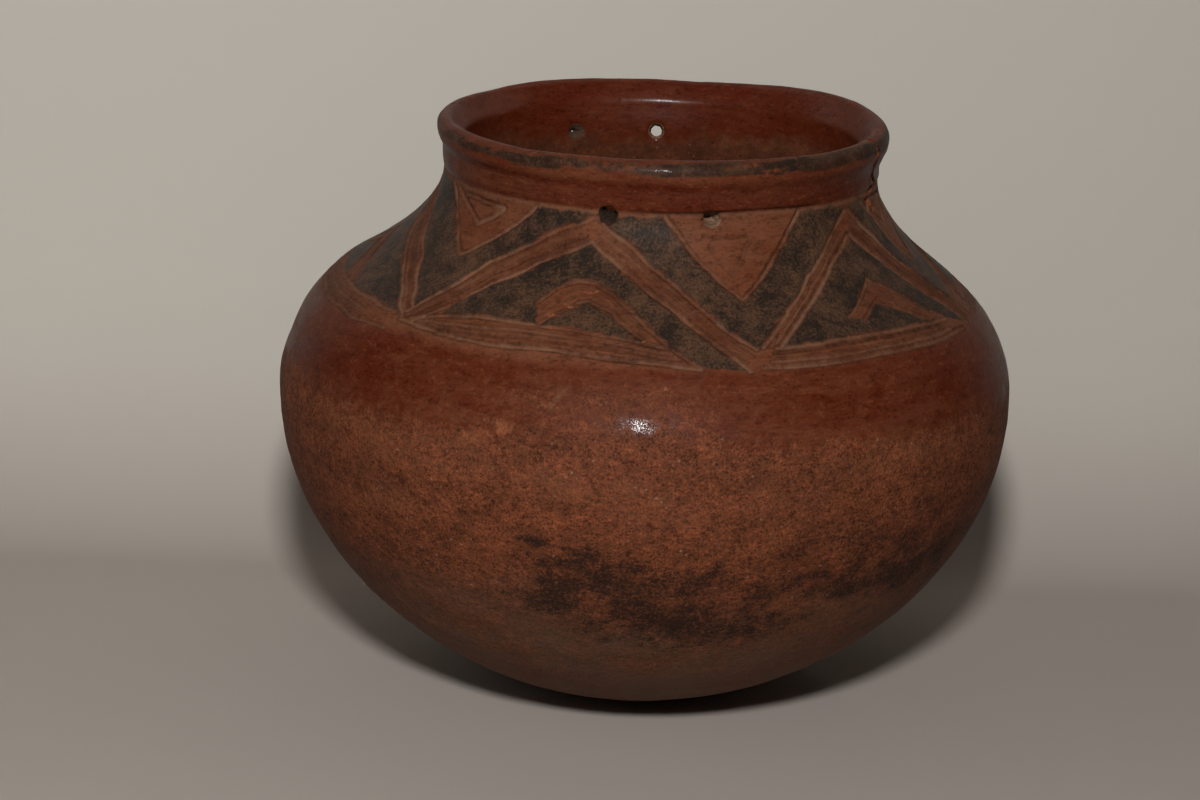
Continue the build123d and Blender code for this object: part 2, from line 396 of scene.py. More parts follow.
# Everything that shows on the outside at (theta, arc): how far it lifts off the outline, and the masks
def outsideMarks(theta, arc):
    theta, arc = np.broadcast_arrays(np.asarray(theta, float), np.asarray(arc, float))
    marks, seed = noMarks(theta.shape), wear["seed"]

    def grain(cells, step, shift):
        return grainField(theta, arc, cells, step, seed + shift)

    scale = np.radians(wallPlace(arc)[0])
    slow = 0.3 * np.cos(np.radians(2 * theta + 40)) + 0.35 * grain(9, 45, 0)
    strokes = 0.16 * grain(26, 7, 1) + 0.05 * grain(90, 2.4, 2)
    marks["lift"] += (slow + strokes) * smoothStep(-2, 30, arc)
    front = turnBy(0, theta)
    edge = 155 + 2.5 * np.cos(np.radians(theta)) + 2.5 * grain(20, 14, 3)
    worn = 0.34 * bell(front + 6, 26) + 0.2 * smoothStep(0, 0.7, grain(11, 30, 15))
    marks["slip"] = smoothStep(-12, 11, arc - edge) * (1 - worn * smoothStep(186, 172, arc))
    modelled = bell(arc - 156, 9) - bell(arc - 173, 9)
    marks["lift"] += 0.42 * modelled * np.cos(np.radians(front / 2)) ** 2   # the shoulder is beaten flatter
    below = smoothStep(0.4, -0.6, arc - frieze["crease"])
    # paler, duller slip over the front and right of the shoulder: part dust, part painted sheen
    dustAndSheenHaze = 0.36 * smoothStep(-30, -5, front) * smoothStep(66, 26, front) * smoothStep(140, 158, arc)
    marks["dusty"] = np.maximum(smoothStep(-2, 4, arc - 181.0), dustAndSheenHaze) * below
    grimy = 0.75 * bell(turnBy(-50, theta), 20) * smoothStep(236, 241, arc) * smoothStep(249, 246, arc)
    marks["dusty"] = np.maximum(marks["dusty"], grimy)
    marks["dirt"] = smoothStep(122, 62, arc + 9 * grain(22, 12, 4))
    crease = frieze["crease"] + 0.7 * grainField(theta, arc * 0, 14, 40, seed + 5)
    crisp = smoothStep(-10, 0, front) * smoothStep(48, 38, front)
    patchy = smoothStep(0.0, 0.5, grainField(theta, arc * 0, 9, 40, seed + 14))
    crisp = np.maximum(crisp, 0.8 * patchy * (np.abs(front) > 70))
    soft = 0.8 - 0.5 * crisp
    marks["lift"] += (0.14 + 0.24 * crisp) * smoothStep(-soft, soft, arc - crease)  # the neck laps over
    marks["lift"] -= (0.15 + 0.75 * crisp) * bell(arc - crease + 0.2, 0.45)
    # dark line along the crease: painted shadow under the neck's lap
    marks["groove"] = (0.15 + 0.85 * crisp) * bell(arc - crease + 0.2, 0.5)
    marks["line"] = (0.5 - 0.2 * crisp) * bell(arc - crease + 1.1, 0.55)
    left, right = bell(turnBy(-90, theta), 40), bell(turnBy(88, theta), 30)
    marks["lift"] -= (0.4 + 0.9 * left) * bell(arc - 244.6, 3.2)  # drawn in under the lip
    marks["lift"] -= 0.6 * right * bell(arc - 241.5, 2.6) + 0.5 * left * smoothStep(245, 249, arc)
    marks["lift"] += left * (bell(arc - 189, 8) - bell(arc - 163, 9))
    if arc.max() > frieze["lowest"] and arc.min() < frieze["crease"] + frieze["overlap"]:
        kept = marks["line"].copy(), marks["groove"].copy()
        drawFrieze(theta, arc, marks)
        marks["line"] = np.maximum(marks["line"], kept[0])
        marks["groove"] = np.maximum(marks["groove"], kept[1])
    if arc.min() < 175:
        marks["soot"] = blotch(theta, arc, wear["soot"], seed + 6, 0.3)
        marks["pale"] = blotch(theta, arc, wear["pale"], seed + 16)
        marks["chip"] = blotch(theta, arc, wear["chips"], seed + 8, 0.6)
        marks["lift"] -= 0.35 * marks["chip"]
        for path in wear["scratches"]:
            far = strokeDistance(theta, arc, scale, path)
            marks["line"] = np.maximum(marks["line"], 0.6 * bell(far, 0.5))
            marks["lift"] -= 0.15 * bell(far, 0.5)
    if arc.max() > frieze["lowest"] and arc.min() < 236:
        for turn, height, wide, high in wear["flakes"]:     # the coat has flaked off along a cut edge
            far = np.hypot(turnBy(theta, turn) / wide, (arc - height) / high)
            flake = smoothStep(1.2, 0.5, far + 0.9 * grain(620, 0.8, 17))
            marks["chip"] = np.maximum(marks["chip"], 0.9 * flake)
            marks["lift"] -= 0.25 * flake
    if arc.max() > 230:
        crackWander = 0.8 * grain(240, 1.5, 9)
        far = strokeDistance(theta + crackWander, arc, scale, wear["crack"])
        marks["lift"] -= 1.1 * bell(far, 0.45)
        flake = smoothStep(1.35, 0.4, far + 0.7 * grain(300, 1.6, 10))
        onLip = 0.3 * smoothStep(242, 246, arc)
        flake = flake * smoothStep(0.0, 0.5, 0.3 + onLip + grain(60, 5, 18))
        marks["chip"] = np.maximum(marks["chip"], flake)
        # dark line along the crack: painted shade inside it
        marks["groove"] = np.maximum(marks["groove"], bell(far, 0.35))
        marks["lift"] -= 0.3 * flake
    if arc.max() > lipSeam:  # worn black stripe on the outer half of the lip
        over = arc - wallTop + 0.8 * grain(40, 5, 19)
        dark = bell(turnBy(48, theta), 28)
        stripe = smoothStep(0.9 - dark, 2.2 - dark, over) * smoothStep(5.2 + 2 * dark, 3.6 + 2 * dark, over)
        worn = 0.75 + 0.3 * dark + 0.5 * grain(34, 4, 11)
        worn = worn + 0.4 * grain(110, 1.1, 12) + 0.3 * grain(480, 0.8, 20)
        marks["graphite"] = np.maximum(marks["graphite"], stripe * np.clip(worn, 0, 1))
        # the same dark mark blackens the lip's graphite stripe, which is its own colour
        marks["groove"] = np.maximum(marks["groove"], 0.8 * stripe * np.clip(worn - 0.2, 0, 1))
        nick = smoothStep(0.7, 1.0, grain(140, 2.4, 13))
        marks["lift"] -= 0.3 * nick * smoothStep(0, 4, over)
        marks["chip"] = np.maximum(marks["chip"], 0.35 * nick * smoothStep(0, 3, over))
    return marks


def outerSkin(theta, arc):
    marks = outsideMarks(theta, arc)
    r, z, nr, nz = wallPlace(arc)
    return around(theta, r + nr * marks["lift"], z + nz * marks["lift"]), marks


# Inside of the wall, under the same arc: finger ridges along the coils, red slip just below the lip
insideForm = {
    "ridge": 0.45,
    "pitch": 12.5,
    "slipFrom": 231.0,
    "slipTo": 242.0,
    "swell": 2.2,           # the wall thickens into the lip
    "swellFrom": 230.0,
    "seed": 90,
}


def wallThick(arc):
    share = np.clip((arc - insideForm["swellFrom"]) / (lipSeam - insideForm["swellFrom"]), 0, 1)
    return wallForm["thick"] + insideForm["swell"] * share**2


def innerSkin(theta, arc):
    theta, arc = np.broadcast_arrays(np.asarray(theta, float), np.asarray(arc, float))
    marks, seed = noMarks(theta.shape), insideForm["seed"]

    def grain(cells, step, shift):
        return grainField(theta, arc, cells, step, seed + shift)

    calm = smoothStep(236, 205, arc) * smoothStep(10, 40, arc)
    wander = arc + 3 * grain(10, 30, 0)
    ridges = insideForm["ridge"] * np.sin(2 * np.pi * wander / insideForm["pitch"])
    marks["lift"] = (ridges + 0.4 * grain(44, 9, 1)) * calm
    edge = 3 * grain(24, 8, 2)
    marks["slip"] = smoothStep(insideForm["slipFrom"], insideForm["slipTo"], arc + edge)
    marks["soot"] = 0.5 * smoothStep(0.1, 0.8, grain(8, 40, 3)) * smoothStep(150, 60, arc)
    marks["dirt"] = smoothStep(120, 30, arc)
    r, z, nr, nz = wallPlace(arc)
    deep = wallThick(arc) + marks["lift"]
    return around(theta, r - nr * deep, z - nz * deep), marks


# Lip roll: up the neck, over the round lip and down inside it. The lip dips and rises as it was formed
lipForm = {
    "rise": [(-180, -1.3), (-160, -0.6), (-144, -0.3), (-124, -0.5), (-108, -0.1), (-88, -0.3), (-62, -1.3),
             (-37, -2.2), (-18, -1.6), (6, -1.4), (42, -1.1), (66, -1.0), (82, -1.1), (100, 0.2), (115, 1.3),
             (131, 1.1), (144, 0.2), (154, -0.7), (165, -1.2), (173, -1.45), (180, -1.3)],
    "outerRadius": 3.5,
    "rollOver": 54.0,       # degrees past the crest, where the roll runs out into a bevel
    "rollRadius": 2.6,
    "bendRadius": 4.0,      # from the bevel down into the neck
}


def lipRise(theta):
    turns, rises = zip(*lipForm["rise"])
    return np.interp(turnBy(0, theta), turns, rises)


uprightArc = wallTop + wallForm["lip"] / 2 - lipForm["outerRadius"]
crestArc = uprightArc + np.pi / 2 * lipForm["outerRadius"]
rollTurn = np.radians(lipForm["rollOver"])
flareArc = crestArc + rollTurn * lipForm["rollRadius"]


# A bevel, a bend and a short drop, from the roll down to the neck: place and direction after this many mm
def insideLip(travel):
    along = np.minimum(travel, lipRun["bevel"])
    turned = np.clip((travel - lipRun["bevel"]) / lipForm["bendRadius"], 0, bend)
    drop = np.maximum(travel - lipRun["bevel"] - lipRun["curve"], 0)
    wayR = bevelWay[0] * np.cos(turned) - bevelWay[1] * np.sin(turned)
    wayZ = bevelWay[0] * np.sin(turned) + bevelWay[1] * np.cos(turned)
    size = lipForm["bendRadius"]
    r = bevelStart[0] + bevelWay[0] * along + size * (wayZ - bevelWay[1]) + downWay[0] * drop
    z = bevelStart[1] + bevelWay[1] * along - size * (wayR - bevelWay[0]) + downWay[1] * drop
    return r, z, wayR, wayZ


def lipSkin(theta, run):
    radius, small = lipForm["outerRadius"], lipForm["rollRadius"]
    tipR, tipZ = wallForm["stations"][-1]
    upright = np.clip(run, wallTop, uprightArc) - wallTop
    over = np.clip((run - uprightArc) / radius, 0, np.pi / 2)
    past = np.clip((run - crestArc) / small, 0, rollTurn)
    down = np.clip((run - flareArc) / lipRun["inside"], 0, 1)
    r, z, nr, nz = wallPlace(np.minimum(run, wallTop))
    onLip, inside = run > wallTop, run > flareArc
    turn = over + past
    r = np.where(onLip, tipR - radius + radius * np.cos(over) - small * np.sin(past), r)
    z = np.where(onLip, tipZ + upright + radius * np.sin(over) - small * (1 - np.cos(past)), z)
    nr, nz = np.where(onLip, np.cos(turn), nr), np.where(onLip, np.sin(turn), nz)
    bevelR, bevelZ, wayR, wayZ = insideLip(np.maximum(run - flareArc, 0))
    r, z = np.where(inside, bevelR, r), np.where(inside, bevelZ, z)
    nr, nz = np.where(inside, wayZ, nr), np.where(inside, -wayR, nz)
    marks = outsideMarks(theta, np.minimum(run, flareArc + 6))
    fade = smoothStep(1, 0.3, down)
    marks["lift"] = marks["lift"] * fade
    for name in ("graphite", "chip", "line", "groove"):
        marks[name] = marks[name] * fade
    marks["slip"] = marks["slip"] * 0 + 1
    shown = smoothStep(lipSeam + 1, wallTop, run) * smoothStep(crestArc, crestArc - 3, run)
    marks["dusty"] = marks["slip"] * 0.45 * shown
    z = z + lipRise(theta) * smoothStep(lipSeam, wallTop + 2, run) * smoothStep(1, 0, down)
    return around(theta, r + nr * marks["lift"], z + nz * marks["lift"]), marks


crestR = wallForm["stations"][-1][0] - lipForm["outerRadius"]
crestZ = wallForm["stations"][-1][1] + wallForm["lip"] / 2
lowArc = lipSeam - neckLap + np.array([0.0, -0.4])
lowR, lowZ, lowNr, lowNz = wallPlace(lowArc)
lowPlaces = np.stack([lowR - lowNr * wallThick(lowArc), lowZ - lowNz * wallThick(lowArc)], -1)
bevelStart = np.array([crestR - lipForm["rollRadius"] * np.sin(rollTurn),
                       crestZ - lipForm["rollRadius"] * (1 - np.cos(rollTurn))])
bevelWay = np.array([-np.cos(rollTurn), -np.sin(rollTurn)])
downWay = (lowPlaces[1] - lowPlaces[0]) / np.linalg.norm(lowPlaces[1] - lowPlaces[0])
reach = np.linalg.solve(np.stack([bevelWay, downWay], -1), lowPlaces[0] - bevelStart)
bend = float(np.arccos(bevelWay @ downWay))
trimmed = lipForm["bendRadius"] * np.tan(bend / 2)
lipRun = {"bevel": reach[0] - trimmed, "curve": lipForm["bendRadius"] * bend, "drop": reach[1] - trimmed}
lipRun["inside"] = lipRun["bevel"] + lipRun["curve"] + lipRun["drop"]
print("lip bevel", {part: round(float(length), 1) for part, length in lipRun.items()})
print("wall outline ready,", round(float(wallTop), 1), "mm from foot to lip")


# Piece meshes. A piece is a closed loop of rows, each row a ring of columns
def columnTurns(columns):
    return meshGrid["firstColumn"] + np.arange(columns) * 360 / columns


def jointRows(first, last, count=3):
    share = np.arange(1, count)[:, None, None] / count
    return first[None] * (1 - share) + last[None] * share


def stackMarks(parts):
    return {name: np.concatenate([p[name] for p in parts]) for name in parts[0]}


def stepsFor(length, step):
    return max(2, int(round(length / step)))


def evenOut(row, other):
    if len(row) == 2 * other:  # a fine edge against a coarse neighbour keeps to the neighbour's chords
        row[1::2] = (row[0::2] + np.roll(row[0::2], -1, axis=0)) / 2


def ringRows(low, high, columns, outStep, inStep, below=None, inArc=None):
    theta = columnTurns(columns)[None, :]
    outArc = np.linspace(low, high, stepsFor(high - low, outStep) + 1)
    if inArc is None:
        inArc = np.linspace(high - lap, low - lap, stepsFor(high - low, inStep) + 1)
    outer, outMarks = outerSkin(theta, outArc[:, None])
    inner, inMarks = innerSkin(theta, inArc[:, None])
    if below:
        evenOut(outer[0], below)
        evenOut(inner[-1], below)
    top, foot = jointRows(outer[-1], inner[0]), jointRows(inner[-1], outer[0])
    blank = noMarks(top.shape[:2])
    rows = np.concatenate([outer, top, inner, foot])
    marks = stackMarks([outMarks, blank, inMarks, blank])
    return {"rows": rows, "marks": marks, "outArc": outArc, "inArc": inArc,
            "innerStart": len(outArc) + len(top)}


def gridFaces(count, columns):
    index = np.arange(count * columns).reshape(count, columns)
    after = np.roll(index, -1, axis=0)
    return np.stack([index, np.roll(index, -1, axis=1), np.roll(after, -1, axis=1), after], -1)


# Texture map: the ring is cut into lanes that are laid one above the other
def laneMap(rows, lanes):
    count, columns = rows.shape[:2]
    step = np.linalg.norm(np.roll(rows, -1, axis=0) - rows, axis=2).mean(1)
    v = np.concatenate([[0], np.cumsum(step)]) / step.sum()
    perLane = columns // lanes
    column = np.arange(columns)
    lane, u = column // perLane, column % perLane / perLane
    low, high, left, right = (np.broadcast_to(side, (count, columns))
                              for side in (v[:-1, None], v[1:, None], u, u + 1 / perLane))
    across = np.stack([left, right, right, left], -1) * 0.98 + 0.01
    up = np.stack([low, low, high, high], -1) * 0.97 + 0.01
    return np.stack([across, (up + lane[None, :, None]) / lanes * 0.96], -1), v


def makePiece(name, verts, faces, maps, kinds, marks, sharpRows, materials):
    mesh = bpy.data.meshes.new(name)
    mesh.from_pydata(verts.tolist(), [], faces.tolist())
    mesh.polygons.foreach_set("material_index", kinds.astype(np.int32))
    mesh.polygons.foreach_set("use_smooth", np.ones(len(faces), bool))
    uv = mesh.uv_layers.new(name="OFBake")
    uv.uv.foreach_set("vector", maps.astype(np.float32).ravel())
    for label in markNames[1:]:
        values = marks[label].astype(np.float32)
        mesh.attributes.new(label, "FLOAT", "POINT").data.foreach_set("value", values)
    pairs = np.zeros(len(mesh.edges) * 2, np.int32)
    mesh.edges.foreach_get("vertices", pairs)
    pairs = pairs.reshape(-1, 2)
    sharp = (sharpRows[pairs[:, 0]] > 0) & (sharpRows[pairs[:, 0]] == sharpRows[pairs[:, 1]])
    mesh.attributes.new("sharp_edge", "BOOLEAN", "EDGE").data.foreach_set("value", sharp)
    for material in materials:
        mesh.materials.append(material)
    mesh.update()
    piece = bpy.data.objects.new(name, mesh)
    bpy.context.collection.objects.link(piece)
    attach(piece, "root")
    return piece


def ringPiece(name, ring, lanes, materials, node):
    rows = ring["rows"]
    count, columns = rows.shape[:2]
    faces = gridFaces(count, columns)
    maps, v = laneMap(rows, lanes)
    kinds = np.ones((count, columns), int)
    outEnd, inStart = len(ring["outArc"]) - 1, ring["innerStart"]
    inEnd = inStart + len(ring["inArc"]) - 1
    kinds[:outEnd] = 0
    kinds[ring.get("insideFrom", outEnd):outEnd] = 2
    kinds[inStart:inEnd] = 2
    sharp = np.zeros((count, columns), int)
    for number, row in enumerate((0, outEnd, inStart, inEnd), 1):
        sharp[row] = number
    verts, marks = rows.reshape(-1, 3), {k: m.ravel() for k, m in ring["marks"].items()}
    keep = np.ones((count, columns), bool)
    extra = pierce(ring, keep, v, lanes, len(verts)) if "holes" in ring else None
    faces, maps, kinds, sharp = faces[keep], maps[keep], kinds[keep], sharp.ravel()
    if extra:
        verts = np.concatenate([verts, extra["verts"]])
        faces = np.concatenate([faces, extra["faces"]])
        maps = np.concatenate([maps, extra["maps"]])
        kinds = np.concatenate([kinds, extra["kinds"]])
        marks = {k: np.concatenate([m, extra["marks"][k]]) for k, m in marks.items()}
        sharp = np.concatenate([sharp, np.zeros(len(extra["verts"]), int)])
    piece = makePiece(name, verts, faces, maps, kinds, marks, sharp, materials)
    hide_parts(node)
    return piece


# Cord holes: a round patch in the outer and the inner rows, joined by a tube through the wall
cordHole = {
    "margin": 1.7,
    "rings": 5,
    "tubeRings": 7,
    "rimWear": 0.35,
    "waist": {"back_right_hole": 0.34, "back_left_hole": 0.3},  # tubes narrow halfway, those at the back more
    "clogged": {"front_left_hole": 0.5, "back_left_hole": 0.95},  # part filled with clay
    # soot here darkens the rims and tubes of the holes: painted shade inside them
    "soot": {"front_left_hole": 0.9, "front_right_hole": 0.05, "back_right_hole": 0.05,
             "back_left_hole": 0.65},
    "ragged": {"front_left_hole": 2.6},
    "seed": 23,
}


def holePlaces(mount):
    pos, axis = np.array(mount["pos_m"]) / mm, np.array(mount["axis"])
    found = {}
    for side, deep in (("outer", 0.0), ("inner", wallForm["thick"])):
        travel = np.linspace(-9, 9, 3601)
        line = pos + travel[:, None] * axis
        lineR = np.hypot(line[:, 0] - neckLean(line[:, 2]), line[:, 1])
        r, _, nr, nz = wallPlace(arcAt(line[:, 2]))
        best = np.argmin(np.abs(lineR - (r - nr * deep)))
        x, y, height = line[best]
        arc = arcAt(height + nz[best] * deep)
        found[side] = (np.degrees(np.arctan2(x - neckLean(height), -y)), float(arc))
    return found


def blockLoop(theta, arcs, turn, arc, half, cells):
    column = int(np.round((turn - meshGrid["firstColumn"]) % 360 / 360 * len(theta)))
    row = int(np.argmin(np.abs(arcs - arc)))
    columns = np.arange(column - half, column + half + 1) % len(theta)
    rowList = np.arange(row - cells, row + cells + 1)
    return columns, rowList


def pierce(ring, keep, v, lanes, first):
    theta = columnTurns(ring["rows"].shape[1])
    out = {"verts": [], "faces": [], "maps": [], "kinds": [], "marks": []}
    half = stepsFor(ring["holeRadius"] + cordHole["margin"], np.radians(360 / len(theta)) * 66)
    cells = stepsFor(ring["holeRadius"] + cordHole["margin"], ring["outArc"][1] - ring["outArc"][0])
    for number, mount in enumerate(ring["holes"]):
        places = holePlaces(mount)
        clogged = cordHole["clogged"].get(mount["name"], 0.0)
        loops = {}
        for side, arcs, start, skin in (("outer", ring["outArc"], 0, outerSkin),
                                        ("inner", ring["inArc"], ring["innerStart"], innerSkin)):
            turn, arc = places[side]
            columns, rowList = blockLoop(theta, arcs, turn, arc, half, cells)
            keep[np.ix_(start + rowList[:-1], columns[:-1])] = False
            border = [(r, c) for r in (rowList[0], rowList[-1]) for c in columns]
            border += [(r, c) for r in rowList[1:-1] for c in (columns[0], columns[-1])]
            r, c = np.array(border).T
            radius = float(wallPlace(arc)[0]) - (wallForm["thick"] if side == "inner" else 0)
            scale = np.radians(radius)
            x, y = -turnBy(theta[c], turn) * scale, arcs[r] - arc
            order = np.argsort(np.arctan2(y, x))
            x, y, r, c = x[order], y[order], r[order], c[order]
            turnRound = np.arctan2(y, x)
            ragged = np.random.default_rng(cordHole["seed"] + number).normal(0, 1, 14)
            wobble = sum(ragged[k] / (k + 2) * np.cos((k + 2) * turnRound + 9 * ragged[-k - 1])
                         for k in range(7))
            wobble = wobble * 0.05 * cordHole["ragged"].get(mount["name"], 1.0)
            rim = ring["holeRadius"] * (1 + wobble)
            ends = skin(np.full(2, turn), np.array([arc - 1, arc + 1]))[0]
            span = np.linalg.norm(np.diff(ends, axis=0)) / (2 * mm)
            index = (start + r) * len(theta) + c
            patch = []
            for k in range(1, cordHole["rings"] + 1):
                share = k / cordHole["rings"]
                px = x * (1 - share) + rim * np.cos(turnRound) * share
                py = y * (1 - share) + rim / span * np.sin(turnRound) * share
                near = smoothStep(1.0, 0.0, np.hypot(px, py * span) - rim)
                patch.append((turn + px / scale, arc + py, near))
            loops[side] = {"index": index, "patch": patch, "skin": skin, "v": (arcs, start)}
        waist, soot = cordHole["waist"].get(mount["name"], 0.14), cordHole["soot"].get(mount["name"], 0.0)
        addHole(out, loops, ring, v, lanes, first, number, clogged, waist, soot)
    marks = {k: np.concatenate([m[k] for m in out["marks"]]) for k in out["marks"][0]}
    return {"verts": np.concatenate(out["verts"]), "faces": np.concatenate(out["faces"]),
            "maps": np.concatenate(out["maps"]), "kinds": np.concatenate(out["kinds"]), "marks": marks}


def addHole(out, loops, ring, v, lanes, first, number, clogged, waist, soot):
    rings, uvs = [loops["outer"]["index"]], []
    at = first + sum(len(b) for b in out["verts"])

    def place(turn, arc, side):
        arcs, start = loops[side]["v"]
        rowAt = np.interp(arc, arcs, np.arange(len(arcs))) if arcs[0] < arcs[-1] else np.interp(
            arc, arcs[::-1], np.arange(len(arcs))[::-1])
        share = (np.asarray(turn) - meshGrid["firstColumn"]) % 360 / 360 * lanes
        lane = np.floor(np.median(share))
        high = np.interp(start + rowAt, np.arange(len(v)), v)
        return np.stack([(share - lane) * 0.98 + 0.01, (high * 0.97 + 0.01 + lane) / lanes * 0.96], -1)

    def addRing(points, marks, uv):
        nonlocal at
        out["verts"].append(points)
        out["marks"].append(marks)
        rings.append(np.arange(at, at + len(points)))
        uvs.append(uv)
        at += len(points)

    edges = {}
    for side in ("outer", "inner"):
        data, made = loops[side], []
        for turn, arc, share in data["patch"]:
            points, marks = data["skin"](turn, arc)
            middle = points.mean(0)
            inward = (middle * [1, 1, 0]) / np.linalg.norm(middle[:2]) * (-1 if side == "outer" else 1)
            points = points + inward * cordHole["rimWear"] * mm * np.asarray(share)[:, None]
            marks["chip"] = np.maximum(marks["chip"], 0.12 * share)
            marks["line"] = marks["line"] * (1 - share)
            # the rim darkens towards the hole: painted shade
            marks["soot"] = np.maximum(marks["soot"], soot * smoothStep(0.85, 1.0, share))
            made.append((points, marks, place(turn, arc, side)))
        edges[side] = made
    grid = ring["rows"].reshape(-1, 3)
    uvs.append(place(borderTurn(grid[loops["outer"]["index"]]), borderArc(loops["outer"]), "outer"))
    for points, marks, uv in edges["outer"]:
        addRing(points, marks, uv)
    rimOut, rimIn = edges["outer"][-1][0], edges["inner"][-1][0]
    tubeMarks = noMarks(len(rimOut))
    # the whole tube is darkened: painted shade inside the hole
    tubeMarks["soot"] = np.full(len(rimOut), soot)
    centreOut, centreIn = rimOut.mean(0), rimIn.mean(0)
    rough = np.random.default_rng(cordHole["seed"] + 50 + number)
    for k in range(1, cordHole["tubeRings"]):
        share = k / cordHole["tubeRings"]
        centre = centreOut * (1 - share) + centreIn * share
        points = rimOut * (1 - share) + rimIn * share
        swell = np.sin(np.pi * share)
        pinch = 1 - waist * swell + rough.normal(0, 0.02, len(points))
        low = smoothStep(0.0006, -0.002, points[:, 2] - centre[2])
        pinch = np.maximum(pinch - clogged * swell * (0.55 + 0.45 * low), 0.02)
        addRing(centre + (points - centre) * pinch[:, None], dict(tubeMarks), None)
    for points, marks, uv in edges["inner"][::-1]:
        addRing(points, marks, uv)
    rings.append(loops["inner"]["index"])
    uvs.append(place(borderTurn(grid[loops["inner"]["index"]]), borderArc(loops["inner"]), "inner"))
    tubeSpan = (0.02 + 0.24 * number, 0.22)
    for k in range(len(rings) - 1):
        a, b = rings[k], rings[k + 1]
        out["faces"].append(np.stack([a, np.roll(a, -1), np.roll(b, -1), b], -1))
        inTube = cordHole["rings"] <= k <= cordHole["rings"] + cordHole["tubeRings"] - 1
        if inTube:
            u = tubeSpan[0] + tubeSpan[1] * np.arange(len(a)) / len(a)
            w = tubeSpan[0] + tubeSpan[1] * (np.arange(len(a)) + 1) / len(a)
            low = 0.965 + 0.03 * (k - cordHole["rings"]) / cordHole["tubeRings"]
            high = low + 0.03 / cordHole["tubeRings"]
            corners = [np.stack([u, u * 0 + low], -1), np.stack([w, w * 0 + low], -1),
                       np.stack([w, w * 0 + high], -1), np.stack([u, u * 0 + high], -1)]
        else:
            ua, ub = uvs[k], uvs[k + 1]
            corners = [ua, np.roll(ua, -1, axis=0), np.roll(ub, -1, axis=0), ub]
        out["maps"].append(np.stack(corners, 1))
        out["kinds"].append(np.full(len(a), 1 if inTube else (0 if k < cordHole["rings"] else 2)))


def borderTurn(points):
    x = points[:, 0] / mm - neckLean(points[:, 2] / mm)
    return np.degrees(np.arctan2(x, -points[:, 1] / mm))


def borderArc(loop):
    arc, lastArc = loop["patch"][0][1], loop["patch"][-1][1]
    return arc + (arc - lastArc) / (cordHole["rings"] - 1)  # one ring further out than the first


